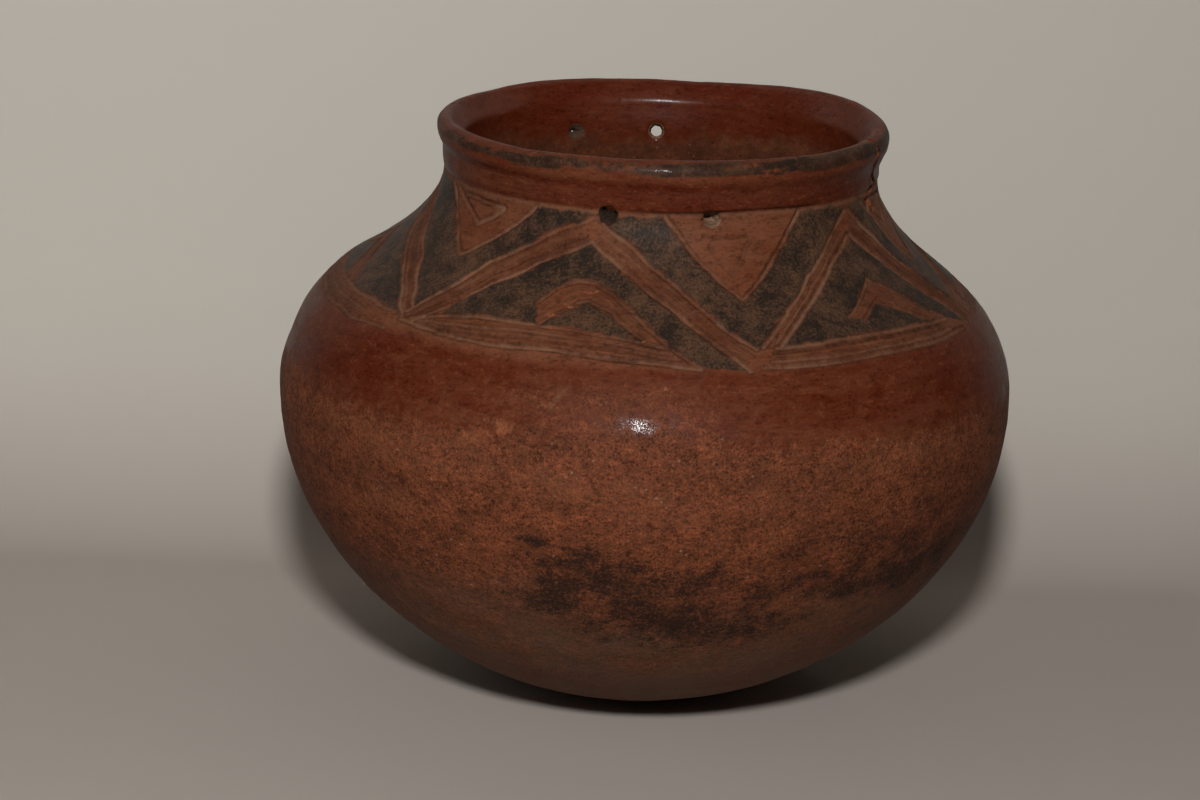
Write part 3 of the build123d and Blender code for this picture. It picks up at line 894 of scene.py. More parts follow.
# Base bowl: rows with fewer columns towards the middle of the floor
def bowlPiece(name, columns, materials, node):
    heel = stationArc[wallForm["heel"]]
    footR = wallForm["stations"][0][0]
    rim = heel - lap
    lowR, lowZ, lowNr, lowNz = wallPlace(rim)
    midR, midZ, midNr, midNz = wallPlace(rim / 2)
    thick = wallForm["thick"]
    hollow, hollowArc, _ = splineThrough(
        [(0, wallForm["floor"]), (midR - midNr * thick, midZ - midNz * thick),
         (lowR - lowNr * thick, lowZ - lowNz * thick)], (1, 0), (-lowNz, lowNr), 600)
    rows = []

    def countAt(radius):
        count = columns
        while count % 2 == 0 and radius < 22 * count / columns:
            count //= 2
        return count

    for radius in np.linspace(1.4, footR, 16):
        theta = columnTurns(countAt(radius))
        worn = 0.12 * (1 + grainField(theta, theta * 0 + radius, 40, 5, 12))
        worn = worn * smoothStep(footR, footR - 4, radius)
        marks = noMarks(len(theta))
        marks["dirt"][:] = 1
        rows.append((around(theta, radius, worn), marks))
    for arc in np.linspace(0, heel, stepsFor(heel, 1.4) + 1)[1:]:
        theta = columnTurns(columns)
        points, marks = outerSkin(theta, arc)
        points[:, 2] = np.maximum(points[:, 2], 0)
        rows.append((points, marks))
    rimRow = len(rows) - 1
    theta = columnTurns(columns)
    edge, _ = innerSkin(theta, rim)
    for points in jointRows(rows[-1][0], edge):
        rows.append((points, noMarks(columns)))
    edgeRow = len(rows)
    for s in np.linspace(hollowArc[-1], 0, stepsFor(hollowArc[-1], 2.0) + 1)[:-1]:
        radius, height = np.interp(s, hollowArc, hollow[:, 0]), np.interp(s, hollowArc, hollow[:, 1])
        theta = columnTurns(countAt(radius))
        blend = smoothStep(hollowArc[-1] - 14, hollowArc[-1], s)
        points, marks = innerSkin(theta, rim - (hollowArc[-1] - s))
        flat = around(theta, radius, height + 0.25 * grainField(theta, theta * 0 + s, 30, 9, 14))
        rows.append((flat * (1 - blend) + points * blend, marks))
    start = np.concatenate([[0], np.cumsum([len(r[0]) for r in rows])])
    quads, tris, quadKind, triKind = [], [], [], []
    for k in range(len(rows) - 1):
        a = np.arange(start[k], start[k + 1])
        b = np.arange(start[k + 1], start[k + 2])
        kind = 1 if rimRow <= k < edgeRow else (0 if k < rimRow else 2)
        if len(a) == len(b):
            faces = np.stack([a, np.roll(a, -1), np.roll(b, -1), b], -1)
            quads.append(faces)
            quadKind.append(np.full(len(faces), kind))
            continue
        many, few, flip = (b, a, True) if len(b) > len(a) else (a, b, False)
        even, odd, then = many[0::2], many[1::2], np.roll(many[0::2], -1)
        nextFew = np.roll(few, -1)
        for face in ((even, odd, few), (odd, nextFew, few), (odd, then, nextFew)):
            tris.append(np.stack(face[::-1] if flip else face, -1))
            triKind.append(np.full(len(few), kind))
    ends = [(0, np.array([[0.0, 0.0, 0.12 * mm]]), 0, True),
            (len(rows) - 1, np.array([[0.0, 0.0, wallForm["floor"] * mm]]), 2, False)]
    verts = [r[0] for r in rows]
    marks = [r[1] for r in rows]
    at = start[-1]
    for row, point, kind, below in ends:
        ringIndex = np.arange(start[row], start[row + 1])
        face = (np.full(len(ringIndex), at), np.roll(ringIndex, -1), ringIndex)
        tris.append(np.stack(face if below else (face[0], face[2], face[1]), -1))
        triKind.append(np.full(len(ringIndex), kind))
        verts.append(point)
        dot = noMarks(1)
        dot["dirt"][:] = 1
        marks.append(dot)
        at += 1
    verts = np.concatenate(verts)
    allMarks = {k: np.concatenate([m[k] for m in marks]) for k in marks[0]}
    faces = [f for q in quads for f in q.tolist()] + [f for t in tris for f in t.tolist()]
    kinds = np.concatenate(quadKind + triKind)
    half = np.where(kinds == 0, 0.0, 0.5)
    loopVerts = np.concatenate([np.concatenate(quads).ravel(), np.concatenate(tris).ravel()])
    quadCount = sum(map(len, quads))
    loopHalf = np.concatenate([np.repeat(half[:quadCount], 4), np.repeat(half[quadCount:], 3)])
    across = verts[loopVerts, :2] / (2 * 74 * mm)
    maps = np.stack([across[:, 0] * 0.5 + 0.25 + loopHalf, across[:, 1] * 0.5 + 0.25], -1)
    sharp = np.zeros(len(verts), int)
    for number, row in enumerate((rimRow, edgeRow), 1):
        sharp[start[row]:start[row + 1]] = number
    mesh = np.empty(len(faces), object)
    mesh[:] = faces
    piece = makePiece(name, verts, mesh, maps, kinds, allMarks, sharp, materials)
    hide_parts(node)
    return piece


# Shader helpers
def feed(tree, source, socket):
    if isinstance(source, bpy.types.NodeSocket):
        tree.links.new(source, socket)
    elif isinstance(source, tuple) and len(source) == 3 and socket.type == "RGBA":
        socket.default_value = (*source, 1)
    else:
        socket.default_value = source


def calc(tree, operation, a, b=0.0):
    node = tree.nodes.new("ShaderNodeMath")
    node.operation = operation
    feed(tree, a, node.inputs[0])
    feed(tree, b, node.inputs[1])
    return node.outputs[0]


def times(tree, a, b):
    return calc(tree, "MULTIPLY", a, b)


def mixColour(tree, amount, a, b, blend="MIX"):
    node = tree.nodes.new("ShaderNodeMix")
    node.data_type, node.blend_type = "RGBA", blend
    feed(tree, amount, node.inputs[0])
    feed(tree, a, node.inputs[6])
    feed(tree, b, node.inputs[7])
    return node.outputs[2]


def mixValue(tree, amount, a, b):
    node = tree.nodes.new("ShaderNodeMix")
    feed(tree, amount, node.inputs[0])
    feed(tree, a, node.inputs[2])
    feed(tree, b, node.inputs[3])
    return node.outputs[0]


def rise(tree, value, low, high, least=0.0, most=1.0):
    node = tree.nodes.new("ShaderNodeMapRange")
    node.interpolation_type = "SMOOTHSTEP"
    for label, source in zip((0, 1, 2, 3, 4), (value, low, high, least, most)):
        feed(tree, source, node.inputs[label])
    return node.outputs[0]


def noise(tree, vector, scale, detail=3.0, rough=0.55):
    node = tree.nodes.new("ShaderNodeTexNoise")
    for label, source in (("Vector", vector), ("Scale", scale), ("Detail", detail), ("Roughness", rough)):
        feed(tree, source, node.inputs[label])
    return node.outputs[0]


def grains(tree, vector, scale):
    node = tree.nodes.new("ShaderNodeTexVoronoi")
    feed(tree, vector, node.inputs["Vector"])
    feed(tree, scale, node.inputs["Scale"])
    return node.outputs["Distance"], node.outputs["Color"]


# Sum of values, each with its share
def blend(tree, *shares):
    total = 0.0
    for value, share in shares:
        total = calc(tree, "ADD", total, times(tree, value, share))
    return total


def stretch(tree, vector, x, y, z):
    node = tree.nodes.new("ShaderNodeVectorMath")
    node.operation = "MULTIPLY"
    feed(tree, vector, node.inputs[0])
    node.inputs[1].default_value = (x, y, z)
    return node.outputs[0]


def redPart(tree, colour):
    node = tree.nodes.new("ShaderNodeSeparateColor")
    feed(tree, colour, node.inputs[0])
    return node.outputs[0]


def newGroup(name, inputs, outputs):
    tree = bpy.data.node_groups.new(name, "ShaderNodeTree")
    for label, kind, value in inputs:
        socket = tree.interface.new_socket(label, in_out="INPUT", socket_type="NodeSocket" + kind)
        if value is not None:
            socket.default_value = (*value, 1) if kind == "Color" else value
    for label, kind in outputs:
        tree.interface.new_socket(label, in_out="OUTPUT", socket_type="NodeSocket" + kind)
    return tree, tree.nodes.new("NodeGroupInput").outputs, tree.nodes.new("NodeGroupOutput").inputs


# Tempered clay: blotchy body colour, sand grains, pale and dark specks
def sandyClayGroup():
    tree, given, made = newGroup("sandyClay", [
        ("Vector", "Vector", None),
        ("Light", "Color", (0.2, 0.07, 0.035)), ("Dark", "Color", (0.1, 0.036, 0.018)),
        ("Speck", "Color", (0.42, 0.33, 0.25)), ("Speck Amount", "Float", 1.0), ("Grit", "Float", 1.0)],
        [("Color", "Color"), ("Height", "Float")])
    at = given["Vector"]
    cloud = noise(tree, stretch(tree, at, 1, 1, 1.4), 15, 6, 0.65)
    patch = noise(tree, stretch(tree, at, 1, 1, 1.3), 110, 5, 0.68)
    wiped = noise(tree, stretch(tree, at, 22, 22, 210), 1, 3, 0.6)
    tone = blend(tree, (cloud, 0.3), (patch, 0.6), (wiped, 0.1))
    base = mixColour(tree, rise(tree, tone, 0.34, 0.66), given["Dark"], given["Light"])
    fine = noise(tree, at, 1500, 2, 0.6)
    gap = noise(tree, stretch(tree, at, 1, 1, 1.5), 430, 4, 0.72)
    worn = blend(tree, (fine, 0.5), (gap, 0.5))
    shade = mixColour(tree, 1.0, base, (0.36, 0.32, 0.3), "MULTIPLY")
    pitted = times(tree, rise(tree, worn, 0.5, 0.4, 0.0, 0.9), given["Grit"])
    base = mixColour(tree, pitted, base, shade)
    bright = mixColour(tree, 1.0, base, (1.75, 1.6, 1.45), "MULTIPLY")
    grainy = times(tree, rise(tree, worn, 0.52, 0.62, 0.0, 0.9), given["Grit"])
    base = mixColour(tree, grainy, base, bright)
    dot, pick = grains(tree, at, 640)
    chosen = redPart(tree, pick)
    pale = times(tree, rise(tree, dot, 0.36, 0.1), rise(tree, chosen, 0.93, 1.0))
    darkDot = times(tree, rise(tree, dot, 0.42, 0.12), rise(tree, chosen, 0.2, 0.05))
    base = mixColour(tree, times(tree, darkDot, 0.75), base, (0.025, 0.012, 0.008))
    pale = times(tree, pale, given["Speck Amount"])
    base = mixColour(tree, times(tree, pale, 0.35), base, given["Speck"])
    pit, _ = grains(tree, at, 780)
    tree.links.new(base, made["Color"])
    height = calc(tree, "ADD", times(tree, fine, 0.6), times(tree, pit, 0.5))
    tree.links.new(calc(tree, "ADD", height, times(tree, pale, 0.5)), made["Height"])
    return tree


# Burnished slip: rubbed strokes that run round the jar, dusty where it is not rubbed
def burnishGroup():
    tree, given, made = newGroup("burnishedCoat", [
        ("Vector", "Vector", None),
        ("Rubbed", "Color", (0.085, 0.017, 0.008)), ("Dry", "Color", (0.13, 0.042, 0.02)),
        ("Fleck", "Color", (0.26, 0.1, 0.05)), ("Dryness", "Float", 0.3)],
        [("Color", "Color"), ("Roughness", "Float"), ("Height", "Float"), ("Polish", "Float")])
    at = given["Vector"]
    long = noise(tree, stretch(tree, at, 18, 18, 190), 1, 4, 0.65)
    short = noise(tree, stretch(tree, at, 90, 90, 600), 1, 3, 0.65)
    cloud = noise(tree, stretch(tree, at, 1, 1, 1.7), 38, 5, 0.66)
    stroke = blend(tree, (long, 0.3), (short, 0.3), (cloud, 0.4))
    dry = calc(tree, "ADD", given["Dryness"], times(tree, calc(tree, "SUBTRACT", stroke, 0.5), 2.4))
    dry = rise(tree, dry, 0.05, 0.95)
    colour = mixColour(tree, dry, given["Rubbed"], given["Dry"])
    fine = noise(tree, stretch(tree, at, 0.7, 0.7, 1.2), 1150, 3, 0.65)
    flecks = noise(tree, stretch(tree, at, 0.55, 0.55, 1.3), 400, 5, 0.75)
    grit = blend(tree, (fine, 0.45), (flecks, 0.55))
    darker = mixColour(tree, 1.0, colour, (0.45, 0.42, 0.4), "MULTIPLY")
    colour = mixColour(tree, rise(tree, grit, 0.49, 0.39, 0.0, 0.75), colour, darker)
    lighter = mixColour(tree, 0.55, colour, given["Fleck"])
    colour = mixColour(tree, rise(tree, grit, 0.535, 0.63, 0.0, 0.75), colour, lighter)
    tree.links.new(colour, made["Color"])
    tree.links.new(mixValue(tree, dry, 0.36, 0.62), made["Roughness"])
    tree.links.new(blend(tree, (short, 0.4), (fine, 0.6)), made["Height"])
    glint = noise(tree, at, 2400, 2, 0.6)
    shine = times(tree, rise(tree, glint, 0.46, 0.64, 0.0, 0.65), rise(tree, dry, 0.9, 0.2, 0.1, 1.0))
    tree.links.new(shine, made["Polish"])
    return tree


# Breaks the edge of a mask into a rubbed, patchy one
def frayGroup():
    tree, given, made = newGroup("frayedEdge", [
        ("Vector", "Vector", None), ("Mask", "Float", 0.0),
        ("Scale", "Float", 300.0), ("Amount", "Float", 0.5)],
        [("Mask", "Float")])
    rough = noise(tree, given["Vector"], given["Scale"], 4, 0.65)
    shift = times(tree, calc(tree, "SUBTRACT", rough, 0.5), given["Amount"])
    shown = calc(tree, "ADD", given["Mask"], times(tree, shift, 2.0))
    whole = times(tree, rise(tree, shown, 0.22, 0.78), rise(tree, given["Mask"], 0.0, 0.12))
    tree.links.new(whole, made["Mask"])
    return tree


clayGroup, coatGroup, edgeGroup = sandyClayGroup(), burnishGroup(), frayGroup()


def placeGroup(tree, group, **values):
    node = tree.nodes.new("ShaderNodeGroup")
    node.node_tree = group
    for label, source in values.items():
        feed(tree, source, node.inputs[label.replace("_", " ")])
    return node.outputs


def mark(tree, name):
    node = tree.nodes.new("ShaderNodeAttribute")
    node.attribute_name = name
    return node.outputs["Fac"]


def frayed(tree, spot, name, scale, amount):
    return placeGroup(tree, edgeGroup, Vector=spot, Mask=mark(tree, name), Scale=scale, Amount=amount)["Mask"]


# Finishes. Each look lists its colours, linear, as they show under plain light
outsideLook = {
    "clayLight": (0.185, 0.055, 0.024),
    "clayDark": (0.098, 0.031, 0.0145),
    "clayPale": (0.25, 0.092, 0.045),
    "rubbed": (0.082, 0.0127, 0.0038),
    "dry": (0.135, 0.037, 0.016),
    "fleck": (0.23, 0.072, 0.03),
    # dusty: the colour of dust, and of painted sheen over the front of the shoulder
    "dusty": (0.156, 0.054, 0.0255),
    "graphite": (0.0155, 0.0132, 0.0103),
    "graphiteWorn": (0.099, 0.0485, 0.0267),
    "dust": (0.188, 0.096, 0.056),
    # groove: painted shade for the cuts, the crease and the crack, and the black of the lip stripe
    "groove": (0.03, 0.011, 0.0055),
    "chip": (0.23, 0.075, 0.033),
    "chipDark": (0.15, 0.045, 0.02),
    "soot": (0.017, 0.0105, 0.0075),
    "dirt": (0.12, 0.077, 0.051),
}
insideLook = {
    "clayLight": (0.125, 0.04, 0.0175),
    "clayDark": (0.062, 0.0195, 0.009),
    "rubbed": outsideLook["rubbed"],
    "dry": outsideLook["dry"],
    "fleck": (0.15, 0.04, 0.018),
    "soot": (0.03, 0.018, 0.012),
    "dirt": (0.09, 0.055, 0.036),
}
brokenLook = {
    "clayLight": (0.32, 0.2, 0.133),
    "clayDark": (0.17, 0.09, 0.053),
    # soot here is near black, for the tubes of the holes: painted shade
    "soot": (0.009, 0.006, 0.0045),
}


def startMaterial(name):
    material = bpy.data.materials.new(name)
    material.use_nodes = True
    tree = material.node_tree
    shader = tree.nodes["Principled BSDF"]
    shader.inputs["Specular IOR Level"].default_value = 0.07  # dry clay hardly shines
    spot = tree.nodes.new("ShaderNodeTexCoord").outputs["Object"]
    return material, tree, shader, spot


def finishMaterial(tree, shader, colour, roughness, height, strength, distance, polish=None, gloss=0.17):
    bump = tree.nodes.new("ShaderNodeBump")
    bump.inputs["Strength"].default_value = strength
    bump.inputs["Distance"].default_value = distance * mm
    tree.links.new(height, bump.inputs["Height"])
    tree.links.new(bump.outputs[0], shader.inputs["Normal"])
    tree.links.new(colour, shader.inputs["Base Color"])
    tree.links.new(roughness, shader.inputs["Roughness"])
    if polish is not None:
        facing = tree.nodes.new("ShaderNodeLayerWeight").outputs["Facing"]
        polish = times(tree, polish, rise(tree, facing, 0.62, 0.3))   # worn gloss shows only head on
        tree.links.new(polish, shader.inputs["Coat Weight"])
        shader.inputs["Coat Roughness"].default_value = gloss


# Outside of the jar: matte clay low down, burnished slip above, graphite, dusty lines and painted shade along
# the cuts in the frieze
def outsideMaterial(name, look):
    material, tree, shader, spot = startMaterial(name)
    clay = placeGroup(tree, clayGroup, Vector=spot, Light=look["clayLight"], Dark=look["clayDark"])
    smear = noise(tree, stretch(tree, spot, 1, 1, 2), 60, 5, 0.7)
    pale = times(tree, mark(tree, "pale"), rise(tree, smear, 0.38, 0.62, 0.1, 0.75))
    colour = mixColour(tree, pale, clay["Color"], mixColour(tree, 0.6, clay["Color"], look["clayPale"]))
    grubby = noise(tree, spot, 46, 4, 0.65)
    dirt = times(tree, mark(tree, "dirt"), rise(tree, grubby, 0.25, 0.7, 0.45, 1.0))
    colour = mixColour(tree, dirt, colour, mixColour(tree, 0.3, look["dirt"], clay["Color"]))
    # dust in the frieze and on the lip, and painted sheen over the front of the shoulder slip
    dusty = mark(tree, "dusty")
    dryness = calc(tree, "ADD", 0.3, times(tree, dusty, 0.4))
    dryTone = mixColour(tree, dusty, look["dry"], look["dusty"])
    coat = placeGroup(tree, coatGroup, Vector=spot, Rubbed=look["rubbed"], Dry=dryTone, Fleck=look["fleck"],
                      Dryness=dryness)
    slip = frayed(tree, spot, "slip", 260.0, 0.55)
    colour = mixColour(tree, slip, colour, coat["Color"])
    rough = mixValue(tree, slip, 0.66, coat["Roughness"])
    height = mixValue(tree, slip, clay["Height"], times(tree, coat["Height"], 0.6))
    polish = times(tree, slip, coat["Polish"])
    black = frayed(tree, spot, "graphite", 420.0, 0.6)
    thin = blend(tree, (noise(tree, spot, 46, 5, 0.65), 0.33), (noise(tree, spot, 190, 4, 0.65), 0.27),
                 (noise(tree, spot, 1200, 3, 0.7), 0.4))
    paint = mixColour(tree, rise(tree, thin, 0.43, 0.6), look["graphite"], look["graphiteWorn"])
    colour = mixColour(tree, times(tree, black, 0.95), colour, paint)
    rough = mixValue(tree, black, rough, 0.5)
    # soot clouds on the body, and painted shade at the rims of the holes
    sootAndRimShade = mark(tree, "soot")
    smut = blend(tree, (noise(tree, stretch(tree, spot, 1, 1, 1.3), 150, 6, 0.75), 0.45),
                 (noise(tree, spot, 1100, 3, 0.7), 0.55))
    specked = rise(tree, blend(tree, (smut, 1.0), (sootAndRimShade, 0.395)), 0.66, 0.86)
    colour = mixColour(tree, times(tree, sootAndRimShade, 0.3), colour, look["soot"])
    colour = mixColour(tree, times(tree, specked, times(tree, rise(tree, sootAndRimShade, 0.02, 0.3), 0.85)),
                       colour, look["soot"])
    # painted shade along the cuts, the crease and the crack
    streak = blend(tree, (noise(tree, spot, 90, 3, 0.6), 0.5), (noise(tree, spot, 500, 3, 0.65), 0.5))
    shadow = times(tree, mark(tree, "groove"), rise(tree, streak, 0.62, 0.42, 0.3, 0.95))
    colour = mixColour(tree, shadow, colour, look["groove"])
    rubOff = times(tree, mark(tree, "line"), rise(tree, streak, 0.4, 0.6, 0.3, 1.0))
    colour = mixColour(tree, rubOff, colour, look["dust"])
    rough = mixValue(tree, mark(tree, "line"), rough, 0.8)
    flake = frayed(tree, spot, "chip", 900.0, 1.0)
    crumbs = rise(tree, noise(tree, spot, 700, 3, 0.7), 0.4, 0.6)
    bare = mixColour(tree, crumbs, look["chipDark"], look["chip"])
    colour = mixColour(tree, flake, colour, bare)
    rough = mixValue(tree, flake, rough, 0.85)
    dull = calc(tree, "MAXIMUM", times(tree, black, 0.5), calc(tree, "MAXIMUM", flake, dusty))
    polish = times(tree, polish, calc(tree, "SUBTRACT", 1.0, dull))
    finishMaterial(tree, shader, colour, rough, height, 0.5, 0.5, polish)
    return material


def insideMaterial(name, look):
    material, tree, shader, spot = startMaterial(name)
    clay = placeGroup(tree, clayGroup, Vector=spot, Light=look["clayLight"], Dark=look["clayDark"],
                      Speck_Amount=0.6, Grit=0.45)
    dirty = mixColour(tree, 0.5, look["dirt"], clay["Color"])
    colour = mixColour(tree, mark(tree, "dirt"), clay["Color"], dirty)
    # soot low inside, and painted shade at the inner rims of the holes
    smokeAndRimShade = frayed(tree, spot, "soot", 120.0, 0.8)
    colour = mixColour(tree, times(tree, smokeAndRimShade, 0.6), colour, look["soot"])
    coat = placeGroup(tree, coatGroup, Vector=spot, Rubbed=look["rubbed"], Dry=look["dry"],
                      Fleck=look["fleck"], Dryness=0.22)
    slip = frayed(tree, spot, "slip", 210.0, 0.6)
    colour = mixColour(tree, slip, colour, coat["Color"])
    rough = mixValue(tree, slip, 0.8, coat["Roughness"])
    height = mixValue(tree, slip, clay["Height"], times(tree, coat["Height"], 0.55))
    gloss = rise(tree, coat["Polish"], 0.0, 1.0, 0.3, 0.9)
    finishMaterial(tree, shader, colour, rough, height, 0.4, 0.5, times(tree, slip, gloss), 0.27)
    return material


def brokenMaterial(name, look):
    material, tree, shader, spot = startMaterial(name)
    clay = placeGroup(tree, clayGroup, Vector=spot, Light=look["clayLight"], Dark=look["clayDark"],
                      Speck_Amount=0.8)
    lump = noise(tree, spot, 320, 4, 0.65)
    colour = mixColour(tree, rise(tree, lump, 0.4, 0.62), look["clayDark"], clay["Color"])
    # the tubes of the holes are darkened: painted shade
    colour = mixColour(tree, mark(tree, "soot"), colour, look["soot"])
    rough = rise(tree, lump, 0.2, 0.8, 0.75, 0.95)
    finishMaterial(tree, shader, colour, rough, calc(tree, "ADD", clay["Height"], lump), 0.8, 0.6)
    return material


bodySkin = outsideMaterial("firedBody", outsideLook)
insideSkin = insideMaterial("rawInside", insideLook)
brokenClay = brokenMaterial("brokenClay", brokenLook)
skins = [bodySkin, brokenClay, insideSkin]
print("finishes ready")

# Courses of the wall, from the floor up, with the mm between their rows
rowStep = {
    "body": 1.1,
    "shoulder": 1.0,
    "carved": 0.46,
    "collar": 0.57,
    "lip": 0.5,
    "inside": 2.2,
    "roundHoles": 0.5,      # inside of the collar, and below its holes
    "underHoles": 1.2,
    "holeReach": 13.0,
}
lanes = 3                   # strips of each ring in its texture map
firstCarved = 2             # the frieze begins on the third shoulder coil
fine, coarse = meshGrid["fineColumns"], meshGrid["coarseColumns"]
bowlPiece("bowl", coarse, skins, "base_bowl")
heelArc, bellyArc, collarArc = (stationArc[wallForm[place]] for place in ("heel", "belly", "collar"))
bodySeams = np.linspace(heelArc, bellyArc, wallForm["bodyCoils"] + 1)
for number in range(wallForm["bodyCoils"]):
    node = f"body_coil_{number + 1}"
    ring = ringRows(bodySeams[number], bodySeams[number + 1], coarse, rowStep["body"], rowStep["inside"])
    ringPiece(f"bodyCoil{number + 1}", ring, lanes, skins, node)
print("bowl and body coils built")

shoulderSeams = np.linspace(bellyArc, collarArc, wallForm["shoulderCoils"] + 1)
for number in range(wallForm["shoulderCoils"]):
    node = f"shoulder_coil_{number + 1}"
    carved = number >= firstCarved
    ring = ringRows(shoulderSeams[number], shoulderSeams[number + 1], fine if carved else coarse,
                    rowStep["carved" if carved else "shoulder"], rowStep["inside"],
                    below=coarse if number == firstCarved else None)
    ringPiece(f"shoulderCoil{number + 1}", ring, lanes, skins, node)
print("shoulder coils built")

inTop, inFoot, holeFoot = lipSeam - neckLap, collarArc - lap, lipSeam - rowStep["holeReach"]
collarIn = np.concatenate([
    np.linspace(inTop, holeFoot, stepsFor(inTop - holeFoot, rowStep["roundHoles"]) + 1),
    np.linspace(holeFoot, inFoot, stepsFor(holeFoot - inFoot, rowStep["underHoles"]) + 1)[1:]])
collarRing = ringRows(collarArc, lipSeam, fine, rowStep["collar"], None, inArc=collarIn)
collarRing["holes"] = [m for m in frame["record"]["mounts"] if m["kind"] == "bore"]
collarRing["holeRadius"] = collarRing["holes"][0]["dims"]["r_mm"]
ringPiece("neckCollar", collarRing, lanes, skins, "neck_collar")
print("pierced neck built")


def lipRing(columns, step):
    theta = columnTurns(columns)[None, :]
    end = flareArc + lipRun["inside"]
    run = np.linspace(lipSeam, end, stepsFor(end - lipSeam, step) + 1)
    points, marks = lipSkin(theta, run[:, None])
    points[-1] = innerSkin(theta, np.array([[lipSeam - neckLap]]))[0][0]
    foot = jointRows(points[-1], points[0])
    rows = np.concatenate([points, foot])
    return {"rows": rows, "marks": stackMarks([marks, noMarks(foot.shape[:2])]), "outArc": run,
            "inArc": run[-1:], "innerStart": len(run) - 1,
            "insideFrom": int(np.searchsorted(run, crestArc + 1))}


ringPiece("lipRoll", lipRing(fine, rowStep["lip"]), lanes, skins, "lip_roll")
print("lip built")

# Camera, as the photograph was taken
cameraForm = {"place": (0.0, -1052.5, 382.2), "pitch": 15.39, "yaw": -0.78, "roll": 1.82, "lens": 100.0}


def addCamera():
    data = bpy.data.cameras.new("photoCamera")
    data.lens, data.sensor_width = cameraForm["lens"], 36.0
    data.clip_start, data.clip_end = 0.05, 20
    pitch, yaw, roll = (np.radians(cameraForm[k]) for k in ("pitch", "yaw", "roll"))
    right = np.array([np.cos(yaw), -np.sin(yaw), 0])
    level = np.array([np.sin(yaw), np.cos(yaw), 0])
    up = level * np.sin(pitch) + np.array([0, 0, np.cos(pitch)])
    forward = level * np.cos(pitch) - np.array([0, 0, np.sin(pitch)])
    x = right * np.cos(roll) + up * np.sin(roll)
    y = up * np.cos(roll) - right * np.sin(roll)
    turn = Matrix([[x[i], y[i], -forward[i], cameraForm["place"][i] * mm] for i in range(3)] + [[0, 0, 0, 1]])
    camera = bpy.data.objects.new("photoCamera", data)
    bpy.context.collection.objects.link(camera)
    camera.matrix_world = turn
    bpy.context.scene.camera = camera


addCamera()

# Pale paper sweep under and behind the jar, its floor painted darker than its wall as painted shade
sweepForm = {
    "front": -0.34,
    "bend": 0.093,
    "radius": 0.075,
    "top": 0.85,
    "wide": 0.38,
    # the floor is darker and warmer than the wall: painted shade, with a warm painted bounce from the jar
    "wall": (0.605, 0.567, 0.5),
    "floor": (0.423, 0.372, 0.33),
}


def addSweep():
    turn = np.linspace(0, np.pi / 2, 24)
    start, radius = sweepForm["bend"], sweepForm["radius"]
    side = [(sweepForm["front"], 0.0)]
    side += [(start + radius * np.sin(a), radius * (1 - np.cos(a))) for a in turn]
    side += [(start + radius, sweepForm["top"])]
    verts = [(x, y, z) for y, z in side for x in (-sweepForm["wide"], sweepForm["wide"])]
    faces = [(2 * k, 2 * k + 1, 2 * k + 3, 2 * k + 2) for k in range(len(side) - 1)]
    mesh = bpy.data.meshes.new("paperSweep")
    mesh.from_pydata(verts, [], faces)
    mesh.polygons.foreach_set("use_smooth", np.ones(len(faces), bool))
    material = bpy.data.materials.new("palePaper")
    material.use_nodes = True
    tree = material.node_tree
    shader = tree.nodes["Principled BSDF"]
    spot = tree.nodes.new("ShaderNodeTexCoord").outputs["Object"]
    place = tree.nodes.new("ShaderNodeSeparateXYZ")
    tree.links.new(spot, place.inputs[0])
    cloud = times(tree, noise(tree, spot, 6, 3, 0.5), 0.02)
    height = calc(tree, "ADD", place.outputs["Z"], cloud)
    # paper darker low down and lighter up the wall: painted shade
    tone = mixColour(tree, rise(tree, height, 0.0, 0.1), sweepForm["floor"], sweepForm["wall"])
    tree.links.new(tone, shader.inputs["Base Color"])
    shader.inputs["Roughness"].default_value = 0.9
    shader.inputs["Specular IOR Level"].default_value = 0.2
    behind = tree.nodes.new("ShaderNodeNewGeometry").outputs["Backfacing"]
    path = tree.nodes.new("ShaderNodeLightPath").outputs
    clear = calc(tree, "MAXIMUM", times(tree, behind, path["Is Camera Ray"]), path["Is Shadow Ray"])
    tree.links.new(calc(tree, "SUBTRACT", 1.0, clear), shader.inputs["Alpha"])
    mesh.materials.append(material)
    sweep = bpy.data.objects.new("paperSweep", mesh)
    bpy.context.collection.objects.link(sweep)


addSweep()

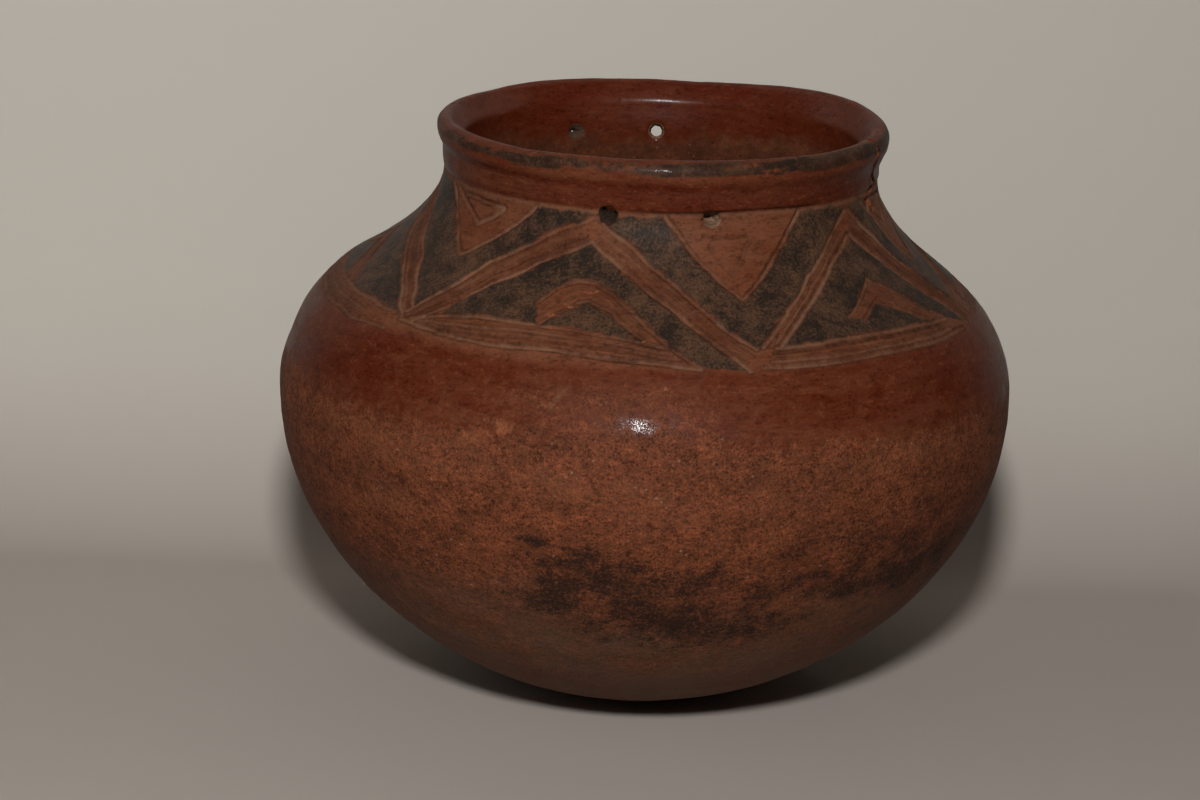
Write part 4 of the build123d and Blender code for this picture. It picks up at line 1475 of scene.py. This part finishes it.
# A soft lamp over the camera, a weak one at the side, narrow ones over the mouth and behind.
# The world gives a weak fill, and the camera sees it brighter than it lights
lightForm = {"place": (-0.01, -1.03, 0.68), "aim": (-0.66, 0, 0.09), "size": 0.12, "power": 12.6}
worldForm = {"tint": (1.0, 0.97, 0.93), "fill": 0.022, "backdrop": 0.4}
sideForm = {"place": (-1.5, -0.6, 0.9), "aim": (0, 0, 0.09), "size": 1.4, "power": 1.6}
mouthForm = {"place": (0.003, -0.02, 1.1), "aim": (0.003, 0, 0), "size": 0.02, "power": 60.0, "cone": 6.8}
backForm = {"place": (0.35, 1.3, 0.85), "aim": (0, 0, 0.1), "size": 0.05, "power": 64.0, "cone": 6.6}


def addLamp(name, form, shines=True):
    data = bpy.data.lights.new(name, "SPOT" if "cone" in form else "AREA")
    data.energy = form["power"]
    if "cone" in form:
        data.spot_size, data.spot_blend, data.shadow_soft_size = np.radians(form["cone"]), 1.0, form["size"]
    else:
        data.shape, data.size = "DISK", form["size"]
    lamp = bpy.data.objects.new(name, data)
    bpy.context.collection.objects.link(lamp)
    place = np.array(form["place"])
    back = place - np.array(form["aim"])
    back /= np.linalg.norm(back)
    right = np.cross([0, 0, 1], back)
    right /= np.linalg.norm(right)
    up = np.cross(back, right)
    lamp.matrix_world = Matrix([[right[i], up[i], back[i], place[i]] for i in range(3)] + [[0, 0, 0, 1]])
    lamp.visible_glossy = shines


def addLight():
    addLamp("cameraLamp", lightForm)
    addLamp("sideLamp", sideForm, shines=False)
    addLamp("mouthLamp", mouthForm, shines=False)
    addLamp("backLamp", backForm, shines=False)
    world = bpy.data.worlds.new("evenFill")
    world.use_nodes = True
    sky = world.node_tree.nodes["Background"]
    sky.inputs["Color"].default_value = (*worldForm["tint"], 1)
    seen = world.node_tree.nodes.new("ShaderNodeLightPath").outputs["Is Camera Ray"]
    strength = mixValue(world.node_tree, seen, worldForm["fill"], worldForm["backdrop"])
    world.node_tree.links.new(strength, sky.inputs["Strength"])
    bpy.context.scene.world = world


addLight()
bpy.context.scene.view_settings.view_transform = "Standard"
print("camera, paper and light set")
